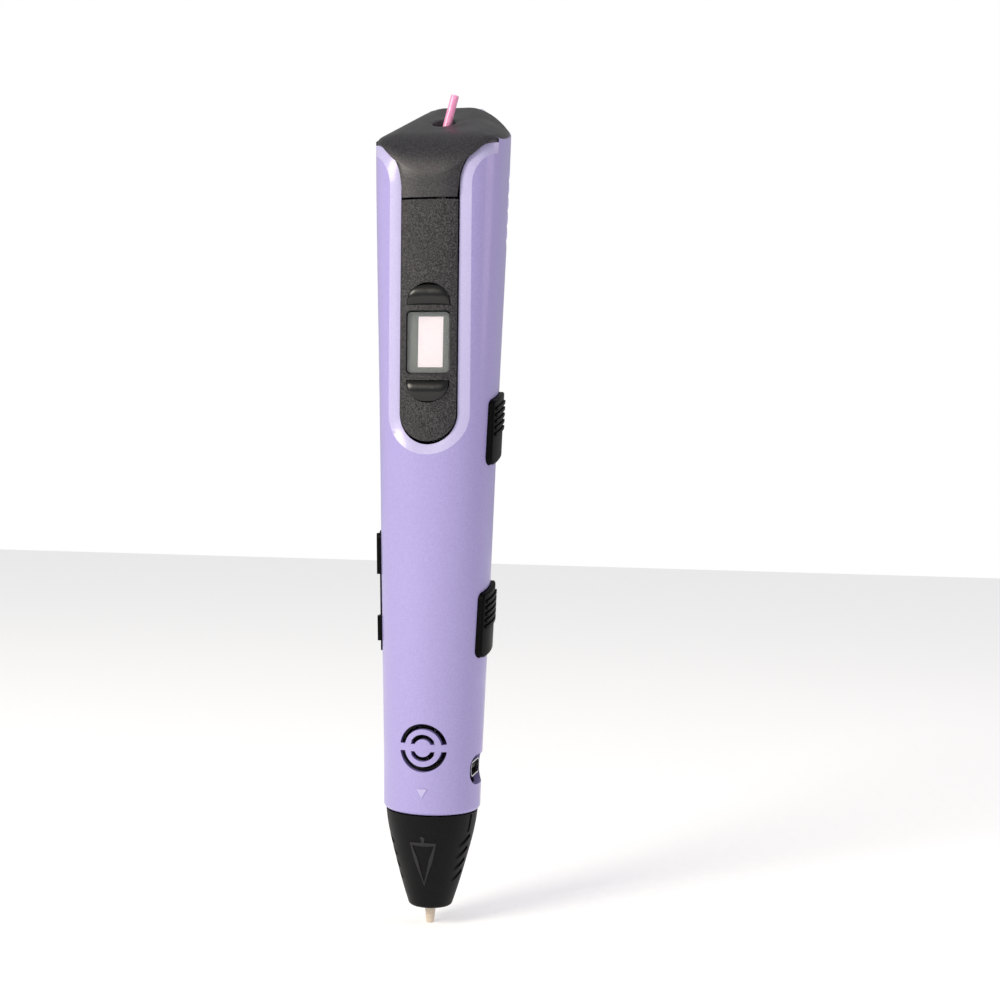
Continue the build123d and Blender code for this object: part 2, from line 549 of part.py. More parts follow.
def make_guides():
    """The two smooth tubes that lead the filament to and from the feeder."""
    for name, z0, z1 in (("upper_guide_tube", 99.5, FUNNEL_Z0 + 3), ("lower_guide_tube", 24.5, 83.0)):
        add(name, turned(((GUIDE_BORE, z0), (GUIDE_R, z0), (GUIDE_R, z1), (GUIDE_BORE, z1))))


# ---------------------------------------------------------------- electronics
def make_fan():
    """The small cooling fan: ring, struts, motor hub and its free rotor."""
    base = (0, FAN_Y, VENT_Z)
    ring = axis_cylinder(FAN_R, FAN_DEPTH, base, (0, 1, 0))
    ring -= axis_cylinder(FAN_R - 0.5, 20, (0, -15, VENT_Z), (0, 1, 0))
    back = FAN_Y + FAN_DEPTH - 0.7
    for strut in range(3):
        arm = Plane(origin=(0, back, VENT_Z), z_dir=(0, 1, 0)) * (
            Rot(0, 0, 120 * strut) * Pos((FAN_R - 0.3) / 2, 0, 0.35) * Box(FAN_R - 0.3, 0.7, 0.7))
        ring += arm
    ring += axis_cylinder(FAN_HUB, 0.7, (0, back, VENT_Z), (0, 1, 0))
    ring += axis_cylinder(0.4, 1.6, (0, back - 1.6, VENT_Z), (0, 1, 0))
    add("fan_frame", ring)
    rotor_y0, rotor_y1 = FAN_Y + 0.4, back - 0.3
    rotor = axis_cylinder(FAN_HUB, rotor_y1 - rotor_y0, (0, rotor_y0, VENT_Z), (0, 1, 0))
    for blade in range(FAN_BLADES):
        vane = Plane(origin=(0, (rotor_y0 + rotor_y1) / 2, VENT_Z), z_dir=(0, 1, 0)) * (
            Rot(0, 0, 360 * blade / FAN_BLADES) * Pos(FAN_HUB + 1.15, 0, 0) * Rot(38, 0, 0)
            * Box(2.5, 2.6, 0.35))
        rotor += vane
    rotor -= axis_cylinder(0.4 + SHAFT_GAP, 1.5, (0, rotor_y1 - 1.45, VENT_Z), (0, 1, 0))
    add("fan_rotor", rotor)


def tact_switch(at, axis):
    """A small push switch standing on a board."""
    plane = Plane(origin=at, z_dir=axis)
    low = plane * Box(3.0, 3.0, SWITCH_H - 0.4, align=(Align.CENTER, Align.CENTER, Align.MIN))
    return low + plane * Cylinder(0.8, SWITCH_H, align=(Align.CENTER, Align.CENTER, Align.MIN))


def make_electronics():
    """The control board, the side boards, their switches and the power inlet."""
    add("main_board", block(-5.4, 5.4, PCB_Y, PCB_Y + 1.0, 106.0, 152.0))
    add("controller_chip", block(-3.0, 3.0, PCB_Y + 1.0, PCB_Y + 2.0, 141.0, 147.0))
    keys = tact_switch((0, PCB_Y, MOON_UP_Z + 2.0), (0, -1, 0))
    keys += tact_switch((0, PCB_Y, MOON_DOWN_Z - 2.0), (0, -1, 0))
    add("panel_switches", keys)
    for name, z in SIDE_BUTTONS.items():
        stop_x = wall_x(z, SIDE_W / 2 + 0.7, WALL) - 0.15 - 0.9 - SIDE_TRAVEL - 0.1
        board_x = stop_x - SWITCH_H
        add(name + "_switch", tact_switch((board_x, 0, z), (1, 0, 0)))
        add(name + "_board", block(board_x - 0.8, board_x, -3.6, 1.5 if name == "feed" else 3.6, z - 5, z + 5))
    rocker_x = ROCKER_PIVOT_X + 2.0
    pair = Part()
    for side in (-1, 1):
        z = ROCKER_Z + side * 9.0
        pair += block(rocker_x - 3.1, rocker_x, -1.5, 1.5, z - 1.5, z + 1.5)
    add("rocker_switches", pair)
    outline = SlotOverall(PORT_W, PORT_H) - SlotOverall(PORT_W - 0.6, PORT_H - 0.6)
    add("port_shell", side_prism(Pos(0, PORT_Z) * outline, PORT_X0, PORT_X))
    back = side_prism(Pos(0, PORT_Z) * SlotOverall(PORT_W - 0.6, PORT_H - 0.6), PORT_X0, PORT_X0 + 1.0)
    tongue = block(PORT_X0 + 1.0, PORT_X - 0.7, -3.35, 3.35, PORT_Z - 0.35, PORT_Z + 0.35)
    add("port_tongue", back + tongue)
    add("port_board", block(PORT_X0 - 1.2, PORT_X - 1.9, -4.6, 4.6, PORT_Z - PORT_H / 2 - 0.9,
                            PORT_Z - PORT_H / 2))


def make_screws():
    """The four casing screws, fitted from behind under the rear cover."""
    group = []
    for x, z, head_y in screw_places():
        shank = axis_cylinder(SCREW_R, 2 * head_y - 1.2, (x, 1.2 - head_y, z), (0, 1, 0))
        head = axis_cylinder(SCREW_HEAD_R, SCREW_HEAD_T, (x, head_y - SCREW_HEAD_T, z), (0, 1, 0))
        cross = Plane(origin=(x, head_y, z), z_dir=(0, 1, 0)) * (Box(2.0, 0.45, 1.0) + Box(0.45, 2.0, 1.0))
        group.append((shank & block(-30, 30, -30, head_y - SCREW_HEAD_T, 0, 200)) + head - cross)
    PARTS["casing_screws"] = Compound(children=[solid for piece in group for solid in piece.solids()])


def main():
    """Build every piece and write one STEP file for each."""
    for make in (make_shells, make_rear_cover, make_cap, make_panel, make_display, make_moon_keys,
                 make_side_buttons, make_rocker, make_nose, make_hot_end, make_filament, make_drive,
                 make_feeder, make_guides, make_fan, make_electronics, make_screws):
        make()
    os.makedirs("parts", exist_ok=True)
    for name, shape in PARTS.items():
        shape.label = name
        export_step(shape, f"parts/{name}.step")


if __name__ == "__main__":
    main()
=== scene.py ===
"""A lavender drawing pen with a slanted black cap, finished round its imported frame."""
import json
import logging
import math
from collections.abc import Callable, Iterable
from dataclasses import dataclass, field
from enum import Enum

import bmesh
import bpy
from mathutils import Matrix, Vector


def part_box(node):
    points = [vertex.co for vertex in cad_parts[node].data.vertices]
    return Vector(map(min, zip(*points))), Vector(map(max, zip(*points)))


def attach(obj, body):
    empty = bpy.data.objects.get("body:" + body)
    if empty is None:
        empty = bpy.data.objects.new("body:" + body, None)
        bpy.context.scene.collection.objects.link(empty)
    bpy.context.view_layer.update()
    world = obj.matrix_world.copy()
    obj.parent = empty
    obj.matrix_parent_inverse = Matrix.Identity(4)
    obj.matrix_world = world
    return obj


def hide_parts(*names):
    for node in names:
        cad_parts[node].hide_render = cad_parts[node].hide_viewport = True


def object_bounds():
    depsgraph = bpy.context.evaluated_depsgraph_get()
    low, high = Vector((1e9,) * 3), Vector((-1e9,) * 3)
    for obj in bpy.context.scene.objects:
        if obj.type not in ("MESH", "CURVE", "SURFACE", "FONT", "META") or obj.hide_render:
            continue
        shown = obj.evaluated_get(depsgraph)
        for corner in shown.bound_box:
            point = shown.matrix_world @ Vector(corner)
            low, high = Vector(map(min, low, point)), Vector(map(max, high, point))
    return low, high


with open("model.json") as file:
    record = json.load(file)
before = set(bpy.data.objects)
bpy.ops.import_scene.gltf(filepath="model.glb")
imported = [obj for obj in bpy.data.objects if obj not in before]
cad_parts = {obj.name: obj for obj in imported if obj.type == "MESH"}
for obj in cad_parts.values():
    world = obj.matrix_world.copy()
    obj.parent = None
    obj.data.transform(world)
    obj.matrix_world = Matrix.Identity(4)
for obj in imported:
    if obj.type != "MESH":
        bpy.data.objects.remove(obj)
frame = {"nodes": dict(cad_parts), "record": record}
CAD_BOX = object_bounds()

LOG = logging.getLogger("drawing_pen")
MM = 0.001
# Points nearer than the first belong together, and an edge shorter than the second has no length.
LOOSE_GAP = 0.0002 * MM
NO_LENGTH = 0.0001 * MM
# The depth, in millimetres, at which a cutter starts: well in front of the pen.
IN_FRONT_Y = -30.0
# Every finish's roughness varies this much either way, in patches this many times its grain.
WORN_BY = 0.05
BROAD_PER_FINE = 24
# A brushed metal's grain is drawn out along the pen.
BRUSH_STRETCH = (1.0, 1.0, 0.05)
COAT_ROUGHNESS = 0.12


# ------------------------------------------------------------------ helpers
def linear(code: str) -> tuple[float, float, float, float]:
    """Turns an sRGB hex code into a linear colour.

    Args:
        code: six hex digits, with or without a leading #.

    Returns:
        Red, green, blue and an alpha of 1.
    """
    code = code.lstrip("#")
    parts = [int(code[i:i + 2], 16) / 255 for i in (0, 2, 4)]
    return tuple([p / 12.92 if p <= 0.04045 else ((p + 0.055) / 1.055) ** 2.4 for p in parts] + [1.0])


def add_node(tree: bpy.types.NodeTree, kind: str, settings: dict | None = None,
             inputs: dict | None = None) -> bpy.types.Node:
    """Adds one node to a tree.

    Args:
        tree: the node tree to add to.
        kind: the node's type name.
        settings: properties to set on the node.
        inputs: socket name or number to a value or to an output socket to link.

    Returns:
        The new node.
    """
    node = tree.nodes.new(kind)
    for name, value in (settings or {}).items():
        setattr(node, name, value)
    for name, value in (inputs or {}).items():
        socket = node.inputs[name]
        if isinstance(value, bpy.types.NodeSocket):
            tree.links.new(value, socket)
        else:
            socket.default_value = value
    return node


def new_object(name: str, mesh: bpy.types.Mesh) -> bpy.types.Object:
    """Puts a mesh into the scene as an object at the origin."""
    obj = bpy.data.objects.new(name, mesh)
    bpy.context.scene.collection.objects.link(obj)
    return obj


def evaluated_mesh(obj: bpy.types.Object) -> bpy.types.Mesh:
    """Gives a plain mesh of an object with its modifiers applied."""
    graph = bpy.context.evaluated_depsgraph_get()
    graph.update()
    return bpy.data.meshes.new_from_object(obj.evaluated_get(graph))


def apply_modifiers(obj: bpy.types.Object) -> None:
    """Replaces an object's mesh with its evaluated one and removes its modifiers."""
    mesh = evaluated_mesh(obj)
    obj.modifiers.clear()
    obj.data = mesh


def merged_copy(node: str) -> bpy.types.Mesh:
    """Copies a CAD node's mesh and joins its loose triangles.

    Args:
        node: the CAD node's name.

    Returns:
        A closed mesh in the same place.
    """
    mesh = frame["nodes"][node].data.copy()
    form = bmesh.new()
    form.from_mesh(mesh)
    bmesh.ops.remove_doubles(form, verts=form.verts, dist=LOOSE_GAP)
    bmesh.ops.dissolve_degenerate(form, edges=form.edges, dist=NO_LENGTH)
    form.to_mesh(mesh)
    form.free()
    mesh.materials.clear()
    return mesh


def boolean(obj: bpy.types.Object, cutter: bpy.types.Object, operation: str) -> None:
    """Applies one boolean to an object with the exact solver.

    Args:
        obj: the object to change.
        cutter: the object that cuts it.
        operation: DIFFERENCE or INTERSECT.
    """
    step = obj.modifiers.new("cut", "BOOLEAN")
    step.operation = operation
    step.solver = "EXACT"
    step.object = cutter
    apply_modifiers(obj)


def discard(obj: bpy.types.Object) -> None:
    """Removes a helper object from the file."""
    bpy.data.objects.remove(obj)


def shade_by_angle(mesh: bpy.types.Mesh, degrees: float) -> None:
    """Shades a mesh smooth, with edges sharper than an angle left crisp.

    Args:
        mesh: the mesh to shade.
        degrees: the angle from which an edge stays crisp.
    """
    mesh.shade_smooth()
    form = bmesh.new()
    form.from_mesh(mesh)
    limit = math.radians(degrees)
    for edge in form.edges:
        edge.smooth = len(edge.link_faces) == 2 and edge.calc_face_angle(0.0) < limit
    form.to_mesh(mesh)
    form.free()


def mesh_from(name: str, verts: Iterable[tuple[float, float, float]],
              faces: Iterable[tuple[int, ...]]) -> bpy.types.Mesh:
    """Makes a mesh with its normals turned outwards.

    Args:
        name: the mesh's name.
        verts: points in millimetres.
        faces: point numbers of each face.

    Returns:
        The mesh, in metres.
    """
    mesh = bpy.data.meshes.new(name)
    mesh.from_pydata([tuple(MM * c for c in v) for v in verts], [], list(faces))
    form = bmesh.new()
    form.from_mesh(mesh)
    bmesh.ops.recalc_face_normals(form, faces=form.faces)
    form.to_mesh(mesh)
    form.free()
    return mesh


def prism(name: str, outline: list[tuple[float, float]], y0: float, y1: float) -> bpy.types.Object:
    """A straight prism along the depth axis.

    Args:
        name: the object's name.
        outline: (x, z) corners in millimetres.
        y0: where it starts, in millimetres.
        y1: where it ends, in millimetres.

    Returns:
        The prism as an object.
    """
    count = len(outline)
    verts = [(x, y0, z) for x, z in outline] + [(x, y1, z) for x, z in outline]
    faces = [tuple(range(count)), tuple(range(count, 2 * count))]
    faces += [(i, (i + 1) % count, count + (i + 1) % count, count + i) for i in range(count)]
    return new_object(name, mesh_from(name, verts, faces))


def arc(centre: tuple[float, float], radius: float, start: float, end: float,
        steps: int) -> list[tuple[float, float]]:
    """Points along an arc in the X and Z plane.

    Args:
        centre: the arc's centre.
        radius: its radius.
        start: where it starts, in degrees from +X towards +Z.
        end: where it ends.
        steps: how many straight steps it has.

    Returns:
        The points, both ends included.
    """
    turns = [math.radians(start + (end - start) * i / steps) for i in range(steps + 1)]
    return [(centre[0] + radius * math.cos(t), centre[1] + radius * math.sin(t)) for t in turns]


def rounded_box(centre: tuple[float, float], size: tuple[float, float],
                radius: float) -> list[tuple[float, float]]:
    """A rounded rectangle's outline in X and Z.

    Args:
        centre: its middle.
        size: its width and height.
        radius: its corner radius.

    Returns:
        The outline's points.
    """
    wide, tall = size[0] / 2 - radius, size[1] / 2 - radius
    corners = ((1, 1, 0), (-1, 1, 90), (-1, -1, 180), (1, -1, 270))
    points = []
    for sx, sz, start in corners:
        points += arc((centre[0] + sx * wide, centre[1] + sz * tall), radius, start, start + 90, 8)
    return points


def loop_round(corners: list[tuple[float, float]],
               steps: int) -> tuple[tuple[float, float], list[tuple[float, float]]]:
    """Divides the sides of a polygon into equal steps.

    Args:
        corners: the polygon's corners.
        steps: how many steps each side has.

    Returns:
        The corners' mean, and the points round the polygon.
    """
    centre = (sum(x for x, _ in corners) / len(corners), sum(z for _, z in corners) / len(corners))
    path = []
    for (x0, z0), (x1, z1) in zip(corners, corners[1:] + corners[:1]):
        path += [(x0 + (x1 - x0) * i / steps, z0 + (z1 - z0) * i / steps) for i in range(steps)]
    return centre, path


# ------------------------------------------------------------------ finishes
class Surface(Enum):
    """How a moulding tool or a worker left a surface."""

    POLISHED = "polished"
    SATIN = "satin"
    SPARK = "spark eroded"
    BRUSHED = "brushed"


@dataclass(frozen=True)
class Finish:
    """One finish, made as a node material.

    Sizes are in millimetres and colours are sRGB hex codes. A metal's ior isn't used.
    """

    name: str
    colour: str
    fleck: str
    surface: Surface
    roughness: float
    grain: float
    bump: float
    metallic: float = 0.0
    coat: float = 0.0
    alpha: float = 1.0
    glow: float = 0.0
    ior: float = 1.46
    specular: float = 0.5
    fleck_range: tuple[float, float] = (0.42, 0.62)

    def build(self) -> bpy.types.Material:
        """Makes the material.

        Returns:
            A material that reads only Object coordinates.
        """
        material = bpy.data.materials.new(self.name)
        material.use_nodes = True
        tree = material.node_tree
        tree.nodes.clear()
        place = add_node(tree, "ShaderNodeTexCoord").outputs["Object"]
        if self.surface is Surface.BRUSHED:
            stretch = {"Vector": place, "Scale": BRUSH_STRETCH}
            place = add_node(tree, "ShaderNodeMapping", inputs=stretch).outputs["Vector"]
        scale = 1.0 / (self.grain * MM)
        fine = add_node(tree, "ShaderNodeTexNoise",
                        inputs={"Vector": place, "Scale": scale, "Detail": 3.0})
        broad = add_node(tree, "ShaderNodeTexNoise",
                         inputs={"Vector": place, "Scale": scale / BROAD_PER_FINE, "Detail": 2.0})
        low, high = self.fleck_range
        spread = add_node(tree, "ShaderNodeMapRange",
                          inputs={"Value": fine.outputs["Fac"], "From Min": low, "From Max": high})
        tint = add_node(tree, "ShaderNodeMix", {"data_type": "RGBA"},
                        {0: spread.outputs["Result"], 6: linear(self.colour), 7: linear(self.fleck)})
        wear = add_node(tree, "ShaderNodeMapRange",
                        inputs={"Value": broad.outputs["Fac"], "From Min": 0.3, "From Max": 0.7,
                                "To Min": max(self.roughness - WORN_BY, 0.02),
                                "To Max": self.roughness + WORN_BY})
        relief = add_node(tree, "ShaderNodeBump",
                          inputs={"Height": fine.outputs["Fac"], "Strength": self.bump,
                                  "Distance": self.grain * MM * 0.5})
        shader = add_node(tree, "ShaderNodeBsdfPrincipled",
                          inputs={"Base Color": tint.outputs[2], "Roughness": wear.outputs["Result"],
                                  "Normal": relief.outputs["Normal"], "Metallic": self.metallic,
                                  "Specular IOR Level": self.specular, "Coat Weight": self.coat,
                                  "Coat Roughness": COAT_ROUGHNESS, "Alpha": self.alpha})
        if not self.metallic:
            shader.inputs["IOR"].default_value = self.ior
        if self.glow:
            shader.inputs["Emission Color"].default_value = linear(self.colour)
            shader.inputs["Emission Strength"].default_value = self.glow
        add_node(tree, "ShaderNodeOutputMaterial", inputs={"Surface": shader.outputs["BSDF"]})
        return material


# Pearl-lacquered ABS: a silky lavender with a faint sparkle under a thin clear coat.
LAVENDER = Finish("lavender_lacquered_abs", "#9e95ca", "#a59cd0", Surface.SATIN, 0.36, 0.30, 0.03, coat=0.25)
# The same lacquer made paler on the cut bevel: a painted highlight where the bevel catches the light. The
# small marker above the seam takes it too.
BEVEL = Finish("lavender_bevel_painted_highlight", "#b3aed6", "#bab5dc", Surface.SATIN, 0.34, 0.30, 0.03, coat=0.25)
# Spark-eroded ABS: near black with fine grey points; its real 0.1 mm grain is drawn at 0.28 mm to show.
SPARK_BLACK = Finish("spark_textured_abs", "#19191b", "#454447", Surface.SPARK, 0.52, 0.28, 0.45,
                     specular=0.30)
# Satin moulded ABS of the cap and grip, a little smoother than the panel.
CAP_BLACK = Finish("satin_black_abs", "#1f1e22", "#37363b", Surface.SATIN, 0.42, 0.30, 0.20)
# Heat-safe nylon of the nose, dull and very dark.
NOSE_BLACK = Finish("moulded_nylon_black", "#040405", "#0b0b0c", Surface.SPARK, 0.48, 0.35, 0.20,
                    specular=0.16)
# Polished key plastic, glossy on its crown.
KEY_BLACK = Finish("polished_black_abs", "#060607", "#0b0b0d", Surface.POLISHED, 0.26, 0.60, 0.03)
# The side keys' rubbery black, which drinks most of the light.
SIDE_BLACK = Finish("soft_touch_black", "#020203", "#060607", Surface.SATIN, 0.42, 0.35, 0.10,
                    specular=0.08)
# Clear acrylic lens: almost all that shows is its gloss.
LENS = Finish("clear_acrylic", "#a9b0b0", "#aeb5b5", Surface.POLISHED, 0.06, 1.5, 0.0, alpha=0.16, ior=1.49)
# Grey ink printed round the display's window.
LENS_INK = Finish("printed_grey_ink", "#4b4f4e", "#545756", Surface.SATIN, 0.42, 0.30, 0.04)
# A lit liquid-crystal cell: a warm white with a breath of pink.
LCD = Finish("lit_display_glass", "#f7ebf0", "#f2e4ec", Surface.POLISHED, 0.20, 1.2, 0.0, glow=0.30)
# Lacquered circuit board: a deep green with a wet-looking coat.
BOARD = Finish("green_solder_mask", "#1c5a3a", "#236844", Surface.SATIN, 0.40, 0.50, 0.05, coat=0.3)
# Moulded epoxy of the chips: a flat charcoal that stays duller than the board.
CHIP = Finish("epoxy_chip_black", "#1b1b1d", "#262628", Surface.SATIN, 0.55, 0.25, 0.10)
# Brushed steel of gears, shafts and screws: fine lines that streak the light.
STEEL = Finish("brushed_steel", "#b5b7bb", "#c6c8cc", Surface.BRUSHED, 0.30, 0.20, 0.10, metallic=1.0)
# Turned brass of the hot end: a warm yellow with soft turning lines.
BRASS = Finish("turned_brass", "#c2a268", "#d0b27a", Surface.BRUSHED, 0.28, 0.20, 0.08, metallic=1.0)
# Glazed alumina at the tip: warm, stone-like beige.
CERAMIC = Finish("glazed_alumina", "#cbbca8", "#d8cab8", Surface.SATIN, 0.38, 0.40, 0.08)
# The liner tube: milky white, waxy rather than glossy.
PTFE = Finish("milky_ptfe", "#e9e9e6", "#f3f3f1", Surface.SATIN, 0.45, 0.60, 0.03)
# Glass-filled nylon of the inner frame: mid grey, dry and faintly speckled.
FRAME_PLASTIC = Finish("grey_glass_filled_nylon", "#55575b", "#63656a", Surface.SPARK, 0.55, 0.30, 0.20)
# Injection-moulded fan: black with an even, slightly oily sheen.
FAN_BLACK = Finish("fan_plastic_black", "#17171a", "#202024", Surface.SATIN, 0.42, 0.40, 0.06)
# Extruded filament: glossy pink, slightly milky.
FILAMENT = Finish("extruded_pink_filament", "#f293c1", "#f8a9cf", Surface.POLISHED, 0.26, 0.80, 0.03,
                  coat=0.3)
# Nickel-plated shell of the power socket.
SOCKET_METAL = Finish("nickel_plated_steel", "#9c9da1", "#b0b1b5", Surface.BRUSHED, 0.26, 0.20, 0.05,
                      metallic=1.0)
# The studio's painted board: a flat near-white with a breath of glow to lift the shadow.
PALE_BOARD = Finish("pale_painted_board", "#f6f6f7", "#fafafa", Surface.SATIN, 0.7, 3.0, 0.02, glow=0.42)

SLOT_FINISH: dict[str, Finish] = {
    "lavender_shell": LAVENDER, "black_matte": CAP_BLACK, "black_cone": NOSE_BLACK, "black_key": KEY_BLACK,
    "tinted_lens": LENS, "lcd": LCD, "board_green": BOARD, "chip_black": CHIP, "steel": STEEL,
    "brass": BRASS, "ceramic": CERAMIC, "ptfe": PTFE, "frame_plastic": FRAME_PLASTIC,
    "fan_black": FAN_BLACK, "filament_pink": FILAMENT,
}
NODE_FINISH: dict[str, Finish] = {
    "control_panel": SPARK_BLACK, "port_shell": SOCKET_METAL, "feed_button": SIDE_BLACK,
    "retract_button": SIDE_BLACK, "speed_rocker": SIDE_BLACK,
}


@dataclass
class Paintbox:
    """Makes each finish once and puts it on pieces and CAD nodes."""

    made: dict[str, bpy.types.Material] = field(default_factory=dict)

    def material(self, finish: Finish) -> bpy.types.Material:
        """Gives a finish's material, made at its first use."""
        if finish.name not in self.made:
            self.made[finish.name] = finish.build()
        return self.made[finish.name]

    def dress(self, obj: bpy.types.Object, *finishes: Finish) -> None:
        """Gives an object these finishes, in slot order."""
        if obj.data.materials:
            obj.data.materials.clear()
        for finish in finishes:
            obj.data.materials.append(self.material(finish))

    def dress_nodes(self) -> None:
        """Gives every CAD node the finish of its material slot."""
        for row in frame["record"]["subparts"]:
            name = row["node"]
            finish = NODE_FINISH.get(name, SLOT_FINISH[row["material_slot"]])
            node = frame["nodes"][name]
            if node.material_slots:
                for place in node.material_slots:
                    place.material = self.material(finish)
            LOG.info("node %s: %s", name, finish.name)


# ------------------------------------------------------------------ body form
@dataclass(frozen=True)
class BodyForm:
    """The body's rounded-square outer form, in millimetres."""

    stations: tuple[tuple[float, float, float], ...] = (
        (24.9, 10.40, 2.0), (45.0, 10.88, 2.0), (70.0, 11.60, 2.1), (100.0, 12.30, 2.35),
        (130.0, 13.10, 2.6), (160.0, 13.90, 2.8), (190.0, 14.20, 2.85))
    panel_half: float = 6.35
    foot_z: float = 109.55
    shoulder: tuple[float, float] = (17.0, 157.0)
    clear_half: float = 20.0
    clear_top: float = 200.0

    def section(self, z: float) -> tuple[float, float]:
        """Gives the section at a height.

        Args:
            z: the height.

        Returns:
            Its half width and its superellipse power.
        """
        z = min(max(z, self.stations[0][0]), self.stations[-1][0])
        for (z0, h0, p0), (z1, h1, p1) in zip(self.stations, self.stations[1:]):
            if z <= z1:
                share = (z - z0) / (z1 - z0)
                return h0 + (h1 - h0) * share, p0 + (p1 - p0) * share
        return self.stations[-1][1:]

    def reach(self, x: float, y: float, z: float) -> float:
        """How far out a point lies, as the half width of the section through it."""
        _, power = self.section(z)
        return (abs(x) ** power + abs(y) ** power) ** (1 / power)

    def front_y(self, x: float, z: float) -> float:
        """The outer surface's depth on the front side."""
        half, power = self.section(z)
        return -max(half ** power - abs(x) ** power, 0.0) ** (1 / power)

    def outside_opening(self, x: float, z: float) -> float:
        """How far a place lies outside the opening that holds the panel and the cap's front.

        Args:
            x: the place across the pen.
            z: its height.

        Returns:
            The distance, negative inside the opening.
        """
        x = abs(x)
        if z < self.foot_z:
            return math.hypot(x, z - self.foot_z) - self.panel_half
        if z < self.shoulder[1]:
            return x - self.panel_half
        radius = self.shoulder[0] - self.panel_half
        return radius - math.hypot(x - self.shoulder[0], z - self.shoulder[1])

    def opening_outline(self, grow: float) -> list[tuple[float, float]]:
        """The opening's outline, from the right shoulder round the foot to the left one.

        Args:
            grow: how far the outline is drawn outside the opening.

        Returns:
            The outline's points, closed well above the pen.
        """
        radius = self.shoulder[0] - self.panel_half - grow
        side, top = self.clear_half, self.clear_top
        right = arc(self.shoulder, radius, 90, 180, 24)
        foot = arc((0.0, self.foot_z), self.panel_half + grow, 0, -180, 40)
        left = [(-x, z) for x, z in reversed(right)]
        start = [(side, top), (side, right[0][1])]
        return start + right + foot + left + [(-side, left[-1][1]), (-side, top)]


FORM = BodyForm()


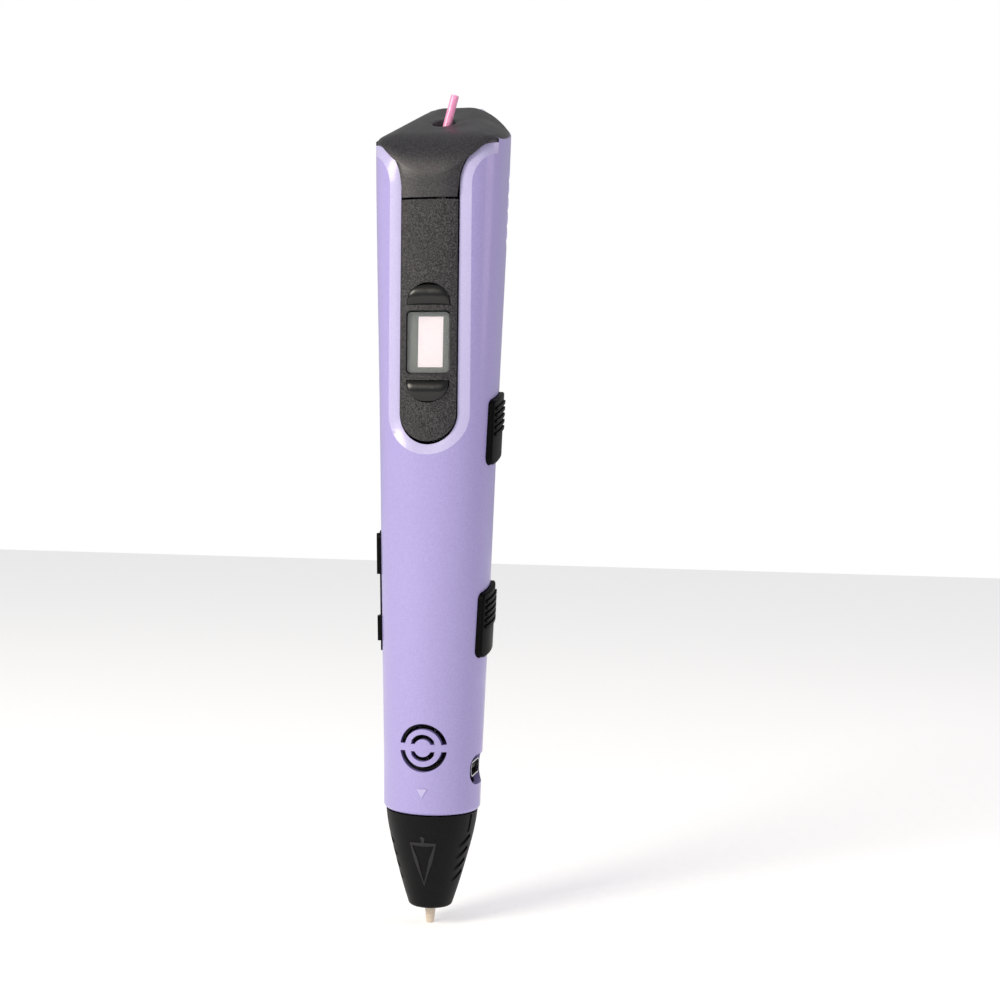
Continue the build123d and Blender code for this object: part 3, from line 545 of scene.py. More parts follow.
# ------------------------------------------------------------------ casing
@dataclass
class Casing:
    """The two lavender halves: bevelled round the panel and grooved at the sides."""

    paint: Paintbox
    bevel_width: float = 2.1
    bevel_depth: float = 0.85
    opening_gap: float = 0.3
    bevel_end_y: float = -7.0
    fade: float = 3.0
    skin: float = 0.3
    crisp_degrees: float = 17.0
    wall_slack: float = 0.012
    weld: float = 0.004
    edge_slack: float = 0.2
    steep: float = 0.25
    flat: float = 0.9
    facing: float = 0.2
    vent_z: float = 39.2
    vent_y: tuple[float, float] = (-14.0, -6.0)
    vent_arcs: tuple[tuple[float, float, float], ...] = ((3.95, 5.1, 10.0), (1.85, 2.85, 28.0))
    vent_steps: int = 24
    groove_radius: float = 1.9
    groove_depth: float = 0.6
    groove_turn: float = 14.0
    groove_pitch: float = 3.35
    groove_first_z: float = 147.2
    groove_count: int = 5
    groove_lean: float = 24.0
    groove_length: float = 9.0
    groove_y: float = 5.4

    def widen_vent(self, shell: bpy.types.Object) -> None:
        """Widens the vent's four arcs to their moulded width."""
        for inner, outer, start in self.vent_arcs:
            for first in (start, 180 + start):
                ends = (first, first + 180 - 2 * start)
                place = (0.0, self.vent_z)
                outside = arc(place, outer, *ends, self.vent_steps)
                inside = arc(place, inner, *ends, self.vent_steps)
                cutter = prism("vent_space", outside + list(reversed(inside)), *self.vent_y)
                boolean(shell, cutter, "DIFFERENCE")
                discard(cutter)

    def groove_cutters(self, side: int) -> bpy.types.Object:
        """The slanted rods that cut one side's grip grooves.

        Args:
            side: 1 for +X, -1 for -X.

        Returns:
            One object made by a Geometry Nodes tree.
        """
        turn = math.radians(self.groove_turn)
        half, power = FORM.section(self.groove_first_z)
        edge = (half ** power - self.groove_y ** power) ** (1 / power)
        out = self.groove_radius - self.groove_depth
        x, y = edge + out * math.cos(turn), self.groove_y + out * math.sin(turn)
        rise = FORM.section(self.groove_first_z + self.groove_pitch)[0] - half
        sizes = {
            "Count": self.groove_count,
            "Start": Vector((side * x, y, self.groove_first_z)) * MM,
            "Step": Vector((side * rise, 0.0, self.groove_pitch)) * MM,
            "Radius": self.groove_radius * MM,
            "Length": self.groove_length * MM,
            "Turn": Vector((math.radians(90 - self.groove_lean), 0.0, side * turn)),
        }
        return row_of_rods("groove_cutters", sizes, self.paint.material(LAVENDER))

    def bevelled(self) -> bpy.types.Object:
        """Cuts the opening and its slanted strip into the front half.

        The strip is parted from the shell, drawn in and welded back, so that its edge is sharp.

        Returns:
            The front half, with material index 1, the painted highlight, on the strip.
        """
        shell = new_object("front_casing", merged_copy("front_shell"))
        opening = FORM.opening_outline(self.opening_gap)
        wider = prism("opening_space", opening, IN_FRONT_Y, self.bevel_end_y)
        boolean(shell, wider, "DIFFERENCE")
        discard(wider)
        strip = new_object("front_strip", shell.data.copy())
        outer = self.opening_gap + self.bevel_width
        cutter = prism("strip_space", FORM.opening_outline(outer), IN_FRONT_Y, self.bevel_end_y)
        boolean(strip, cutter, "INTERSECT")
        boolean(shell, cutter, "DIFFERENCE")
        discard(cutter)
        form = bmesh.new()
        form.from_mesh(shell.data)
        own = len(form.faces)
        form.from_mesh(strip.data)
        form.faces.ensure_lookup_table()
        for index, face in enumerate(form.faces):
            face.material_index = 1 if index >= own else 0
        discard(strip)
        cuts = [f for f in form.faces if self.is_cut(f)]
        bmesh.ops.delete(form, geom=cuts, context="FACES")
        bmesh.ops.remove_doubles(form, verts=form.verts, dist=self.weld * MM)
        self.push(form)
        self.mark_strip(form)
        form.to_mesh(shell.data)
        form.free()
        return shell

    def is_cut(self, face: bmesh.types.BMFace) -> bool:
        """Tells whether a face lies in the cut between strip and shell.

        Args:
            face: the face to look at.

        Returns:
            True for a face on the cut's wall or at its end.
        """
        points = [v.co / MM for v in face.verts]
        outer = self.opening_gap + self.bevel_width
        on_wall = all(abs(FORM.outside_opening(p.x, p.z) - outer) < self.wall_slack for p in points)
        on_end = all(abs(p.y - self.bevel_end_y) < self.weld for p in points)
        slope = abs(face.normal.y)
        return (on_wall and slope < self.steep) or (on_end and slope > self.flat)

    def push(self, form: bmesh.types.BMesh) -> None:
        """Draws the strip's outer points in, most at the opening's edge.

        Args:
            form: the front half, welded.
        """
        for vert in form.verts:
            x, y, z = vert.co / MM
            away = FORM.outside_opening(x, z) - self.opening_gap
            half, _ = FORM.section(z)
            if y > self.bevel_end_y or away > self.bevel_width or away < -self.edge_slack:
                continue
            if FORM.reach(x, y, z) < half - self.skin:
                continue
            share = 1 - max(away, 0.0) / self.bevel_width
            fade = min(1.0, (self.bevel_end_y - y) / self.fade)
            depth = self.bevel_depth * share * fade
            vert.co -= Vector((x, y, 0.0)).normalized() * depth * MM

    def mark_strip(self, form: bmesh.types.BMesh) -> None:
        """Keeps the painted highlight, the paler lavender, on the strip's outer faces only.

        Args:
            form: the front half, with the strip drawn in.
        """
        for face in form.faces:
            if face.material_index:
                x, y, z = face.calc_center_median() / MM
                outer = FORM.reach(x, y, z) > FORM.section(z)[0] - self.bevel_depth - self.skin
                face.material_index = 1 if outer and face.normal.y < self.facing else 0

    def build(self) -> list[bpy.types.Object]:
        """Builds both halves and sets them on the casing body.

        Returns:
            The front and rear pieces.
        """
        front = self.bevelled()
        rear = new_object("rear_casing", merged_copy("rear_shell"))
        for piece in (front, rear):
            # The second finish is the paler lavender: a painted highlight on the bevel strip.
            self.paint.dress(piece, LAVENDER, BEVEL)
        self.widen_vent(front)
        for side in (1, -1):
            cutters = self.groove_cutters(side)
            for half in (front, rear):
                boolean(half, cutters, "DIFFERENCE")
            discard(cutters)
        for piece, node in ((front, "front_shell"), (rear, "rear_shell")):
            shade_by_angle(piece.data, self.crisp_degrees)
            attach(piece, "casing")
            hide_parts(node)
            LOG.info("piece %s: %d faces", piece.name, len(piece.data.polygons))
        return [front, rear]


def row_of_rods(name: str, sizes: dict, material: bpy.types.Material) -> bpy.types.Object:
    """A row of round rods, made by Geometry Nodes and turned into a plain mesh.

    Args:
        name: the object's name.
        sizes: Count, Start, Step, Radius, Length and Turn.
        material: what the rods' faces carry.

    Returns:
        One object with every rod in its mesh.
    """
    tree = bpy.data.node_groups.new(name, "GeometryNodeTree")
    kinds = {"Count": "NodeSocketInt", "Start": "NodeSocketVector", "Step": "NodeSocketVector",
             "Radius": "NodeSocketFloat", "Length": "NodeSocketFloat", "Turn": "NodeSocketVector"}
    sockets = {key: tree.interface.new_socket(key, in_out="INPUT", socket_type=kind)
               for key, kind in kinds.items()}
    tree.interface.new_socket("Geometry", in_out="OUTPUT", socket_type="NodeSocketGeometry")
    given = add_node(tree, "NodeGroupInput").outputs
    line = add_node(tree, "GeometryNodeMeshLine", {"mode": "OFFSET"},
                    {"Count": given["Count"], "Start Location": given["Start"], "Offset": given["Step"]})
    rod = add_node(tree, "GeometryNodeMeshCylinder",
                   inputs={"Vertices": 40, "Radius": given["Radius"], "Depth": given["Length"]})
    turn = add_node(tree, "FunctionNodeEulerToRotation", inputs={0: given["Turn"]})
    copies = add_node(tree, "GeometryNodeInstanceOnPoints",
                      inputs={"Points": line.outputs["Mesh"], "Instance": rod.outputs["Mesh"],
                              "Rotation": turn.outputs[0]})
    real = add_node(tree, "GeometryNodeRealizeInstances", inputs={0: copies.outputs["Instances"]})
    dressed = add_node(tree, "GeometryNodeSetMaterial", inputs={0: real.outputs[0], "Material": material})
    add_node(tree, "NodeGroupOutput", inputs={0: dressed.outputs[0]})
    obj = new_object(name, bpy.data.meshes.new(name))
    step = obj.modifiers.new(name, "NODES")
    step.node_group = tree
    for key, socket in sockets.items():
        step[socket.identifier] = sizes[key]
    apply_modifiers(obj)
    return obj


# ------------------------------------------------------------------ keys
@dataclass
class MoonKeys:
    """The two half-moon keys: smooth pillows, bowed about the pen's width."""

    paint: Paintbox
    radius: float = 4.5
    height: float = 4.6
    flats: tuple[tuple[str, float, int], ...] = (("up_key", 132.1, 1), ("down_key", 116.2, -1))
    crown: float = 0.75
    edge: float = 0.3
    fullness: float = 0.85
    middle_share: float = 0.45
    bow_limit: float = 1.3
    edge_power: int = 14
    crisp_degrees: float = 50.0
    rim_steps: int = 44
    rings: tuple[float, ...] = (1.0, 0.985, 0.96, 0.92, 0.86, 0.76, 0.62, 0.45, 0.25)

    def outline(self, flat: float, sign: int) -> list[tuple[float, float]]:
        """A half-moon outline with its two points rounded.

        Args:
            flat: height of the straight edge.
            sign: 1 if the round side is uppermost, -1 if it is lowest.

        Returns:
            The outline's points.
        """
        points = []
        for step in range(self.rim_steps + 1):
            angle = math.pi * step / self.rim_steps
            rise = max(math.sin(angle), 0.0) ** self.fullness
            points.append((self.radius * math.cos(angle), flat + sign * self.height * rise))
        return points

    def key(self, node: str, flat: float, sign: int) -> bpy.types.Object:
        """One key as a bowed pillow over a straight skirt.

        Args:
            node: the CAD node that it stands for.
            flat: height of its straight edge.
            sign: 1 if its round side is uppermost, -1 if it is lowest.

        Returns:
            The key's object.
        """
        low, high = (Vector(c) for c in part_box(node))
        outline = self.outline(flat, sign)
        middle = flat + sign * self.height * self.middle_share
        face, back = low.y / MM, high.y / MM
        count = len(outline)
        verts = [(x, back, z) for x, z in outline]
        for ring in self.rings:
            for x, z in outline:
                pz = middle + (z - middle) * ring
                bow = self.crown * min(((pz - middle) / (self.height / 2)) ** 2, self.bow_limit)
                verts.append((x * ring, face + bow + self.edge * ring ** self.edge_power, pz))
        verts.append((0.0, face, middle))
        layers = len(self.rings) + 1
        faces = [tuple(range(count))]
        for layer in range(layers - 1):
            a, b = layer * count, (layer + 1) * count
            faces += [(a + i, a + (i + 1) % count, b + (i + 1) % count, b + i) for i in range(count)]
        top = (layers - 1) * count
        faces += [(top + i, top + (i + 1) % count, len(verts) - 1) for i in range(count)]
        obj = new_object(node.replace("_key", "_moon"), mesh_from(node, verts, faces))
        shade_by_angle(obj.data, self.crisp_degrees)
        self.paint.dress(obj, KEY_BLACK)
        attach(obj, node)
        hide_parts(node)
        LOG.info("piece %s", obj.name)
        return obj

    def build(self) -> None:
        """Builds both keys."""
        for node, flat, sign in self.flats:
            self.key(node, flat, sign)


# ------------------------------------------------------------------ cap
@dataclass
class Cap:
    """The black cap: one smooth skin from its slanted top down to the panel."""

    paint: Paintbox
    inset: float = 0.05
    gap: float = 0.05
    panel_top: float = 154.35
    front_centre: tuple[float, float] = (-1.0, 157.7)
    front_round: float = 13.0
    slope: float = 26.0
    hip: tuple[float, float, float] = (179.58, 0.279, 0.72)
    blend: float = 2.6
    lid: float = 0.75
    rim_round: float = 1.1
    wall: float = 1.2
    roof_thickness: float = 1.8
    mouth: float = 2.5
    bore: float = 1.1
    funnel: float = 3.4
    funnel_foot: float = 160.0
    around: int = 288
    highest: float = 178.85
    hip_round: float = 0.5
    edge_clearance: float = 0.02
    side_end: float = 0.4
    corner_x: float = 11.0
    corner_drop: float = 0.25
    reference_z: float = 168.0
    bore_heights: tuple[float, float] = (161.0, 167.0)
    mouth_foot: float = 170.0
    lip: tuple[tuple[float, float], ...] = ((0.0, 0.35), (0.08, 0.12), (0.3, 0.0))
    top_shares: tuple[float, ...] = (0.12, 0.28, 0.45, 0.6, 0.72, 0.82, 0.9, 0.96)
    rim_steps: int = 5
    rim_lift: float = 0.6
    side_shares: tuple[float, ...] = (0.34, 0.67, 1.0)
    inner_step: float = 0.3
    crisp_degrees: float = 40.0

    def top(self, x: float, y: float) -> float:
        """Height of the cap's top, with the creases between its faces softened.

        Args:
            x: the place across the pen.
            y: the place along its depth.

        Returns:
            The height.
        """
        cy, cz = self.front_centre
        turn = math.radians(self.slope)
        tangent_y = cy - self.front_round * math.sin(turn)
        if y > tangent_y:
            slanted = cz + self.front_round * math.cos(turn) + (y - tangent_y) * math.tan(turn)
        else:
            slanted = cz + math.sqrt(max(self.front_round ** 2 - (y - cy) ** 2, 0.04))
        peak, rise, fall = self.hip
        hipped = peak + rise * y - fall * math.sqrt(x * x + self.hip_round)
        near = max(self.blend - abs(slanted - hipped), 0.0) / self.blend
        return min(min(slanted, hipped) - near * near * self.blend / 4, self.highest)

    def edge(self, angle: float, inset: float, z: float) -> tuple[float, float]:
        """A point of the body's section, drawn in by an inset.

        Args:
            angle: the point's angle round the section.
            inset: how far it is drawn in.
            z: the section's height.

        Returns:
            The point's x and y.
        """
        half, power = FORM.section(z)
        c, s = math.cos(angle), math.sin(angle)
        return (math.copysign(abs(c) ** (2 / power), c) * (half - inset),
                math.copysign(abs(s) ** (2 / power), s) * (half - inset))

    def seam(self, x: float, y: float, rim: float) -> float:
        """Height of the cap's lower edge under a point of its rim.

        Args:
            x: the point across the pen.
            y: the point along its depth.
            rim: the point's height.

        Returns:
            The lower edge's height.
        """
        low = rim - self.edge_clearance
        if y > Casing.bevel_end_y + self.side_end:
            return low
        if abs(x) < FORM.panel_half - self.gap:
            return self.panel_top
        radius = FORM.shoulder[0] - FORM.panel_half + self.gap
        reach = FORM.shoulder[0] - abs(x)
        drop = self.corner_drop if abs(x) > self.corner_x else 0.0
        return min(low, FORM.shoulder[1] + math.sqrt(max(radius ** 2 - reach ** 2, 0.0)) - drop)

    def angles(self) -> list[float]:
        """Evenly spaced angles round the cap, half a step off the axes."""
        return [math.tau * (i + 0.5) / self.around for i in range(self.around)]

    def ring(self, angle: float) -> list[tuple[float, float, float]]:
        """The closed section of the cap at one angle, from the bore out, down and back in.

        Args:
            angle: the section's angle round the pen.

        Returns:
            The section's points, the same number at every angle.
        """
        c, s = math.cos(angle), math.sin(angle)
        ref = self.reference_z
        points = [(self.bore * c, self.bore * s, z) for z in self.bore_heights]
        points.append((self.mouth * c, self.mouth * s, self.mouth_foot))
        for grow, drop in self.lip:
            x, y = (self.mouth + grow) * c, (self.mouth + grow) * s
            points.append((x, y, self.top(x, y) - drop))
        rim_x, rim_y = self.edge(angle, self.inset + self.rim_round, ref)
        start = self.mouth + self.lip[-1][0]
        for share in self.top_shares:
            x = start * c + (rim_x - start * c) * share
            y = start * s + (rim_y - start * s) * share
            points.append((x, y, self.top(x, y)))
        last = math.acos(1 - self.lid / self.rim_round)
        for step in range(self.rim_steps + 1):
            turn = last * step / self.rim_steps
            x, y = self.edge(angle, self.inset + self.rim_round * (1 - math.sin(turn)), ref)
            inner = self.top(*self.edge(angle, self.inset + self.rim_round, ref))
            z = min(self.top(x, y), inner + self.rim_lift) - self.rim_round * (1 - math.cos(turn))
            points.append((x, y, z))
        x, y, rim = points[-1]
        low = self.seam(x, y, rim)
        tuck = self.rim_round * (1 - math.sin(last)) + self.inset
        for share in self.side_shares:
            z = rim + (low - rim) * share
            points.append((*self.edge(angle, tuck, z), z))
        points.append((*self.edge(angle, tuck + self.wall, low), low))
        inner_x, inner_y = self.edge(angle, tuck + self.wall + self.inner_step, ref)
        roof = self.top(inner_x, inner_y) - self.roof_thickness
        points.append((inner_x, inner_y, max(roof, low)))
        x, y = self.funnel * c, self.funnel * s
        points.append((x, y, self.top(x, y) - self.roof_thickness))
        points.append((x, y, self.funnel_foot))
        points.append((self.bore * c, self.bore * s, self.funnel_foot))
        return points

    def build(self) -> bpy.types.Object:
        """Builds the cap as one closed skin round the filament's funnel.

        Returns:
            The cap's object.
        """
        rings = [self.ring(a) for a in self.angles()]
        count, deep = len(rings), len(rings[0])
        verts = [p for ring in rings for p in ring]
        faces = []
        for i in range(count):
            a, b = i * deep, ((i + 1) % count) * deep
            faces += [(a + k, a + (k + 1) % deep, b + (k + 1) % deep, b + k) for k in range(deep)]
        cap = new_object("cap_skin", mesh_from("cap_skin", verts, faces))
        shade_by_angle(cap.data, self.crisp_degrees)
        self.paint.dress(cap, CAP_BLACK)
        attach(cap, "casing")
        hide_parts("top_cap")
        LOG.info("piece %s: %d faces", cap.name, len(cap.data.polygons))
        return cap


# ------------------------------------------------------------------ panel
@dataclass
class Panel:
    """The control panel and its lens, trimmed to leave dark gaps round them."""

    paint: Paintbox
    gap: float = 0.35
    top: float = 153.9
    lens_size: tuple[float, float] = (8.8, 12.6)
    lens_opening: tuple[float, float] = (9.5, 13.3)
    corner: float = 0.8
    opening_corner: float = 1.0
    back_y: float = 5.0
    foot_steps: int = 48
    crisp_degrees: float = 24.0

    def trim(self, node: str, name: str, cuts: tuple[tuple[list[tuple[float, float]], str], ...],
             finish: Finish) -> bpy.types.Object:
        """Trims a copy of a CAD node with straight prisms.

        Args:
            node: the CAD node that the piece stands for.
            name: the piece's name.
            cuts: outlines with the boolean each is used for.
            finish: its finish.

        Returns:
            The trimmed piece on the casing body.
        """
        piece = new_object(name, merged_copy(node))
        for outline, operation in cuts:
            cutter = prism("trim_space", outline, IN_FRONT_Y, self.back_y)
            boolean(piece, cutter, operation)
            discard(cutter)
        shade_by_angle(piece.data, self.crisp_degrees)
        self.paint.dress(piece, finish)
        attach(piece, "casing")
        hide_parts(node)
        LOG.info("piece %s: %d faces", name, len(piece.data.polygons))
        return piece

    def build(self) -> None:
        """Builds the panel and the lens."""
        low, high = (Vector(c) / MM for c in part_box("display_lens"))
        middle = ((low.x + high.x) / 2, (low.z + high.z) / 2)
        half = FORM.panel_half - self.gap
        outline = arc((0.0, FORM.foot_z), half, 0, -180, self.foot_steps)
        outline += [(-half, self.top), (half, self.top)]
        window = rounded_box(middle, self.lens_opening, self.opening_corner)
        lens = rounded_box(middle, self.lens_size, self.corner)
        self.trim("control_panel", "panel_face", ((outline, "INTERSECT"), (window, "DIFFERENCE")),
                  SPARK_BLACK)
        self.trim("display_lens", "lens_face", ((lens, "INTERSECT"),), LENS)


# ------------------------------------------------------------------ surface trim
@dataclass
class Trim:
    """Thin raised lines and marks that follow the front of the body and the nose."""

    paint: Paintbox
    proud: float = 0.16
    sunk: float = 0.25
    line: float = 0.5
    line_stretch: float = 1.6
    line_steps: int = 10
    mark_steps: int = 8
    mark_layers: tuple[tuple[float, float], ...] = ((1.0, 0.6), (0.86, 1.0), (0.4, 1.0))
    crisp_degrees: float = 30.0
    triangle: tuple[tuple[float, float], ...] = ((-2.6, 18.6), (2.6, 18.6), (0.0, 9.6))
    stem: tuple[tuple[float, float], ...] = ((-0.45, 20.2), (0.45, 20.2), (0.3, 18.9), (-0.3, 18.9))
    marker: tuple[tuple[float, float], ...] = ((-1.15, 30.6), (1.15, 30.6), (0.0, 28.7))

    def cone_y(self, x: float, z: float) -> float:
        """The nose's front surface."""
        return -math.sqrt(max(Nose(self.paint).radius(z) ** 2 - x ** 2, 0.0))

    def band(self, name: str, corners: list[tuple[float, float]],
             surface: Callable[[float, float], float], finish: Finish) -> bpy.types.Object:
        """A closed raised line that follows a surface.

        Args:
            name: the piece's name.
            corners: (x, z) corners of the line's middle.
            surface: gives the depth of the surface at (x, z).
            finish: its finish.

        Returns:
            The piece.
        """
        centre, path = loop_round(corners, self.line_steps)
        rim = ((-0.5, -self.sunk), (-0.5, self.proud), (0.5, self.proud), (0.5, -self.sunk))
        verts = []
        for x, z in path:
            out_x, out_z = x - centre[0], z - centre[1]
            size = math.hypot(out_x, out_z)
            for grow, lift in rim:
                share = 1 + grow * self.line * self.line_stretch / size
                px, pz = centre[0] + out_x * share, centre[1] + out_z * share
                verts.append((px, surface(px, pz) - lift, pz))
        count = len(path)
        faces = []
        for i in range(count):
            a, b = 4 * i, 4 * ((i + 1) % count)
            faces += [(a + k, a + (k + 1) % 4, b + (k + 1) % 4, b + k) for k in range(4)]
        obj = new_object(name, mesh_from(name, verts, faces))
        return self.settle(obj, finish)

    def patch(self, name: str, corners: list[tuple[float, float]],
              surface: Callable[[float, float], float], finish: Finish) -> bpy.types.Object:
        """A small raised mark with soft edges that follows a surface.

        Args:
            name: the piece's name.
            corners: (x, z) corners of the mark.
            surface: gives the depth of the surface at (x, z).
            finish: its finish.

        Returns:
            The piece.
        """
        centre, path = loop_round(corners, self.mark_steps)
        layers = [(1.0, -self.sunk)] + [(share, self.proud * part) for share, part in self.mark_layers]
        verts, count = [], len(path)
        for share, lift in layers:
            for x, z in path:
                px, pz = centre[0] + (x - centre[0]) * share, centre[1] + (z - centre[1]) * share
                verts.append((px, surface(px, pz) - lift, pz))
        faces = [tuple(range(count)), tuple(range(3 * count, 4 * count))]
        for layer in range(3):
            a, b = layer * count, (layer + 1) * count
            faces += [(a + i, a + (i + 1) % count, b + (i + 1) % count, b + i) for i in range(count)]
        obj = new_object(name, mesh_from(name, verts, faces))
        return self.settle(obj, finish)

    def settle(self, obj: bpy.types.Object, finish: Finish) -> bpy.types.Object:
        """Shades, dresses and places one piece of trim on the casing.

        Args:
            obj: the piece.
            finish: its finish.

        Returns:
            The same piece.
        """
        shade_by_angle(obj.data, self.crisp_degrees)
        self.paint.dress(obj, finish)
        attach(obj, "casing")
        LOG.info("piece %s", obj.name)
        return obj

    def build(self) -> None:
        """Builds the nose's triangle and stem and the small marker above the seam."""
        self.band("nose_triangle", list(self.triangle), self.cone_y, KEY_BLACK)
        self.patch("nose_stem", list(self.stem), self.cone_y, KEY_BLACK)
        # The marker is the shell's lacquer painted paler: a painted highlight on its raised face.
        self.patch("tip_marker", list(self.marker), FORM.front_y, BEVEL)


# ------------------------------------------------------------------ nose
@dataclass
class Nose:
    """The black nose with a slot and slanted grip notches on each side."""

    paint: Paintbox
    profile: tuple[tuple[float, float], ...] = (
        (4.0, 4.55), (9.6, 6.35), (14.6, 7.75), (20.0, 9.1), (24.7, 9.85))
    notch_radius: float = 0.5
    notch_count: int = 4
    notch_heights: tuple[float, float] = (11.0, 18.8)
    notch_turn: float = 66.0
    notch_slant: float = 32.0
    notch_length: float = 4.2
    slot_turn: float = 70.0
    slot_height: float = 22.6
    slot_radius: float = 0.42
    slot_length: float = 3.8
    slot_slope: float = 9.0
    crisp_degrees: float = 24.0

    def radius(self, z: float) -> float:
        """The nose's radius at a height."""
        for (z0, r0), (z1, r1) in zip(self.profile, self.profile[1:]):
            if z <= z1:
                return r0 + (r1 - r0) * (z - z0) / (z1 - z0)
        return self.profile[-1][1]

    def surface(self, turn: float, z: float, side: int) -> Vector:
        """A point of the surface.

        Args:
            turn: degrees from the front towards one side.
            z: the point's height.
            side: 1 for +X, -1 for -X.

        Returns:
            The point, in metres.
        """
        angle = math.radians(turn)
        return Vector((side * self.radius(z) * math.sin(angle), -self.radius(z) * math.cos(angle), z)) * MM

    def cutters(self, side: int) -> list[bpy.types.Object]:
        """The rods that cut one side.

        Args:
            side: 1 for +X, -1 for -X.

        Returns:
            The notch rods and the slot rod.
        """
        dark = self.paint.material(NOSE_BLACK)
        low, high = (self.surface(self.notch_turn, z, side) for z in self.notch_heights)
        notches = {
            "Count": self.notch_count, "Start": low, "Step": (high - low) / (self.notch_count - 1),
            "Radius": self.notch_radius * MM, "Length": self.notch_length * MM,
            "Turn": Vector((math.radians(self.notch_slant - 90), 0.0,
                            -side * math.radians(90 - self.notch_turn))),
        }
        slot = {
            "Count": 1, "Start": self.surface(self.slot_turn, self.slot_height, side),
            "Step": Vector((0, 0, 0)),
            "Radius": self.slot_radius * MM, "Length": self.slot_length * MM,
            "Turn": Vector((0.0, side * math.radians(self.slot_slope), 0.0)),
        }
        return [row_of_rods("notch_cutters", notches, dark), row_of_rods("slot_cutter", slot, dark)]

    def build(self) -> bpy.types.Object:
        """Cuts the nose and sets it on the casing.

        Returns:
            The finished piece.
        """
        nose = new_object("nose_shell", merged_copy("nose_cone"))
        for side in (1, -1):
            for cutter in self.cutters(side):
                boolean(nose, cutter, "DIFFERENCE")
                discard(cutter)
        shade_by_angle(nose.data, self.crisp_degrees)
        self.paint.dress(nose, NOSE_BLACK)
        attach(nose, "casing")
        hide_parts("nose_cone")
        LOG.info("piece %s: %d faces", nose.name, len(nose.data.polygons))
        return nose


# ------------------------------------------------------------------ display
@dataclass
class Display:
    """The printed grey mask between the clear lens and the lit cell."""

    paint: Paintbox
    window: tuple[float, float] = (5.3, 10.6)
    shift: tuple[float, float] = (0.25, 0.2)
    gap: float = 0.06
    thickness: float = 0.25
    margin: float = 0.05
    edge_round: float = 0.04
    crisp_degrees: float = 40.0

    def build(self) -> bpy.types.Object:
        """Builds the mask behind the lens.

        Returns:
            The mask's object.
        """
        low, high = (Vector(c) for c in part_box("display_lens"))
        middle_x, middle_z = (low.x + high.x) / 2 / MM, (low.z + high.z) / 2 / MM
        back = high.y / MM + self.gap
        outer = [(low.x / MM + self.margin, low.z / MM + self.margin),
                 (high.x / MM - self.margin, high.z / MM - self.margin)]
        wide, tall = self.window[0] / 2, self.window[1] / 2
        cx, cz = middle_x + self.shift[0], middle_z + self.shift[1]
        inner = [(cx - wide, cz - tall), (cx + wide, cz + tall)]
        corners = []
        for (x0, z0), (x1, z1) in (outer, inner):
            corners.append([(x0, z0), (x1, z0), (x1, z1), (x0, z1)])
        verts = [(x, y, z) for y in (back, back + self.thickness) for ring in corners for x, z in ring]
        faces = []
        for i in range(4):
            j = (i + 1) % 4
            faces += [(i, j, 4 + j, 4 + i), (8 + i, 12 + i, 12 + j, 8 + j),
                      (i, 8 + i, 8 + j, j), (4 + i, 4 + j, 12 + j, 12 + i)]
        mask = new_object("display_mask", mesh_from("display_mask", verts, faces))
        bevel = mask.modifiers.new("soft_edge", "BEVEL")
        bevel.width = self.edge_round * MM
        bevel.segments = 2
        apply_modifiers(mask)
        shade_by_angle(mask.data, self.crisp_degrees)
        self.paint.dress(mask, LENS_INK)
        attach(mask, "casing")
        LOG.info("piece %s", mask.name)
        return mask


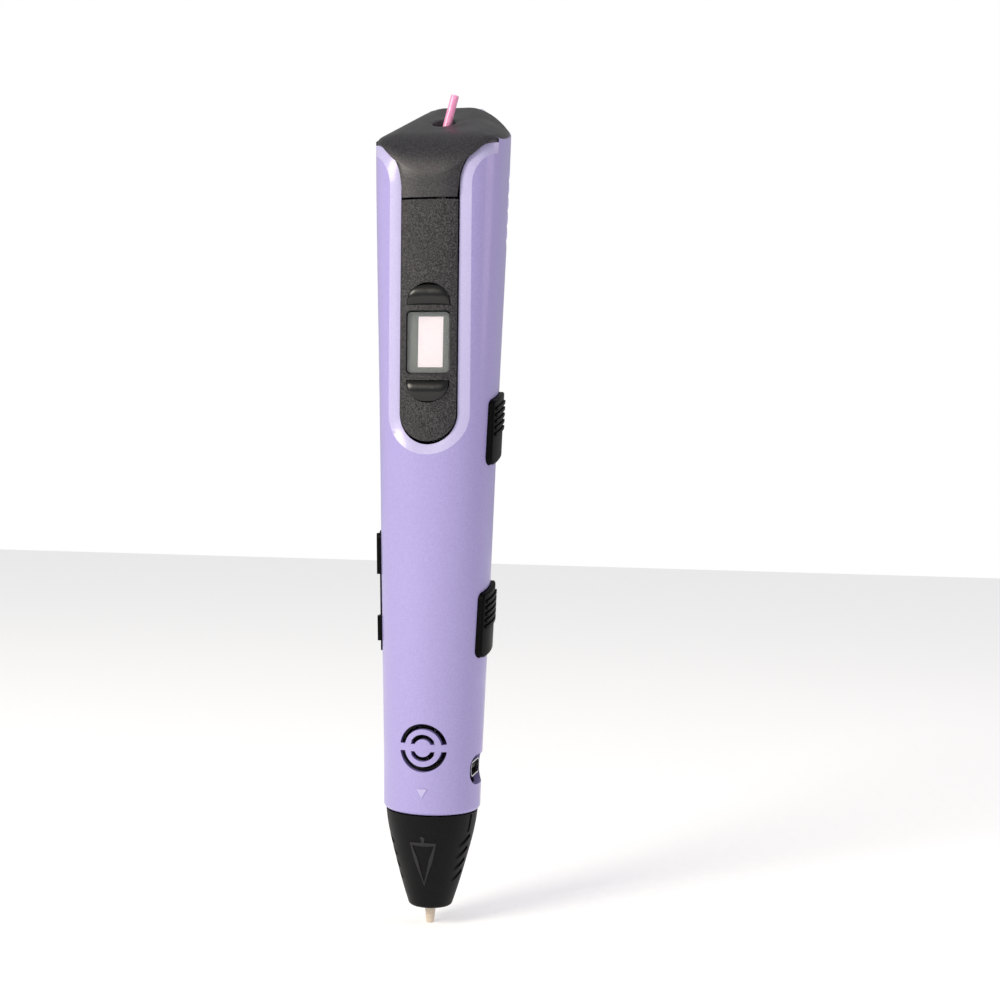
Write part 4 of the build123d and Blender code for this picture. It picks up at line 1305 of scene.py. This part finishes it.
# ------------------------------------------------------------------ studio
@dataclass
class Studio:
    """A pale floor, soft lights and the camera."""

    azimuth: float = 12.3
    distance: float = 0.350
    height: float = 0.0955
    lens: float = 58.3
    shift: tuple[float, float] = (0.062, -0.020)
    lean: float = 1.03
    world: float = 0.44
    aim_height: float = 0.09
    floor_half: float = 1.5
    floor_drop: float = 0.02

    def camera(self) -> None:
        """Sets the camera level, facing the pen's axis, turned a little about its own view."""
        turn = math.radians(self.azimuth)
        place = Vector((self.distance * math.sin(turn), -self.distance * math.cos(turn), self.height))
        data = bpy.data.cameras.new("camera")
        data.lens = self.lens
        data.sensor_width = 36.0
        data.shift_x, data.shift_y = self.shift
        data.clip_start = 0.01
        cam = bpy.data.objects.new("camera", data)
        bpy.context.scene.collection.objects.link(cam)
        look = (Vector((0.0, 0.0, self.height)) - place).to_track_quat("-Z", "Y").to_matrix().to_4x4()
        cam.matrix_world = Matrix.Translation(place) @ look @ Matrix.Rotation(math.radians(self.lean), 4, "Z")
        bpy.context.scene.camera = cam

    def light(self, name: str, place: tuple[float, float, float], size: float, power: float,
              colour: str = "#ffffff") -> None:
        """Adds one soft area light aimed at the middle of the pen.

        Args:
            name: the light's name.
            place: where it stands, in metres.
            size: its diameter, in metres.
            power: its power, in watts.
            colour: its colour, as a hex code.
        """
        data = bpy.data.lights.new(name, "AREA")
        data.shape = "DISK"
        data.size = size
        data.energy = power
        data.color = linear(colour)[:3]
        lamp = bpy.data.objects.new(name, data)
        bpy.context.scene.collection.objects.link(lamp)
        aim = Vector((0.0, 0.0, self.aim_height)) - Vector(place)
        lamp.matrix_world = Matrix.Translation(place) @ aim.to_track_quat("-Z", "Y").to_matrix().to_4x4()

    def floor(self) -> None:
        """Lays a pale painted board under the pen."""
        half = self.floor_half / MM
        base = CAD_BOX[0][2] / MM - self.floor_drop
        verts = [(-half, -half, base), (half, -half, base), (half, half, base), (-half, half, base)]
        board = new_object("floor", mesh_from("floor", verts, [(0, 1, 2, 3)]))
        Paintbox().dress(board, PALE_BOARD)

    def build(self) -> None:
        """Sets up the camera, the floor, the world and the lights."""
        self.camera()
        scene = bpy.context.scene
        scene.view_settings.view_transform = "Standard"
        world = bpy.data.worlds.new("studio")
        scene.world = world
        world.use_nodes = True
        back = world.node_tree.nodes["Background"]
        back.inputs["Color"].default_value = (1.0, 1.0, 1.0, 1.0)
        back.inputs["Strength"].default_value = self.world
        wall = add_node(world.node_tree, "ShaderNodeBackground",
                        inputs={"Color": (1.0, 1.0, 1.0, 1.0), "Strength": 1.0})
        seen = add_node(world.node_tree, "ShaderNodeLightPath").outputs["Is Camera Ray"]
        both = add_node(world.node_tree, "ShaderNodeMixShader",
                        inputs={0: seen, 1: back.outputs["Background"], 2: wall.outputs["Background"]})
        world.node_tree.links.new(both.outputs[0], world.node_tree.nodes["World Output"].inputs["Surface"])
        self.floor()
        self.light("key", (-0.40, -0.58, 0.46), 0.35, 4.9, "#fff6ea")
        self.light("rim", (0.50, 0.10, 0.25), 0.25, 0.35, "#ffe0f0")


def main() -> None:
    """Builds every sub-assembly in order."""
    logging.basicConfig(level=logging.INFO, format="%(message)s")
    Studio().build()
    paint = Paintbox()
    paint.dress_nodes()
    Casing(paint).build()
    Nose(paint).build()
    Cap(paint).build()
    Panel(paint).build()
    MoonKeys(paint).build()
    Display(paint).build()
    Trim(paint).build()


if __name__ == "__main__":
    main()
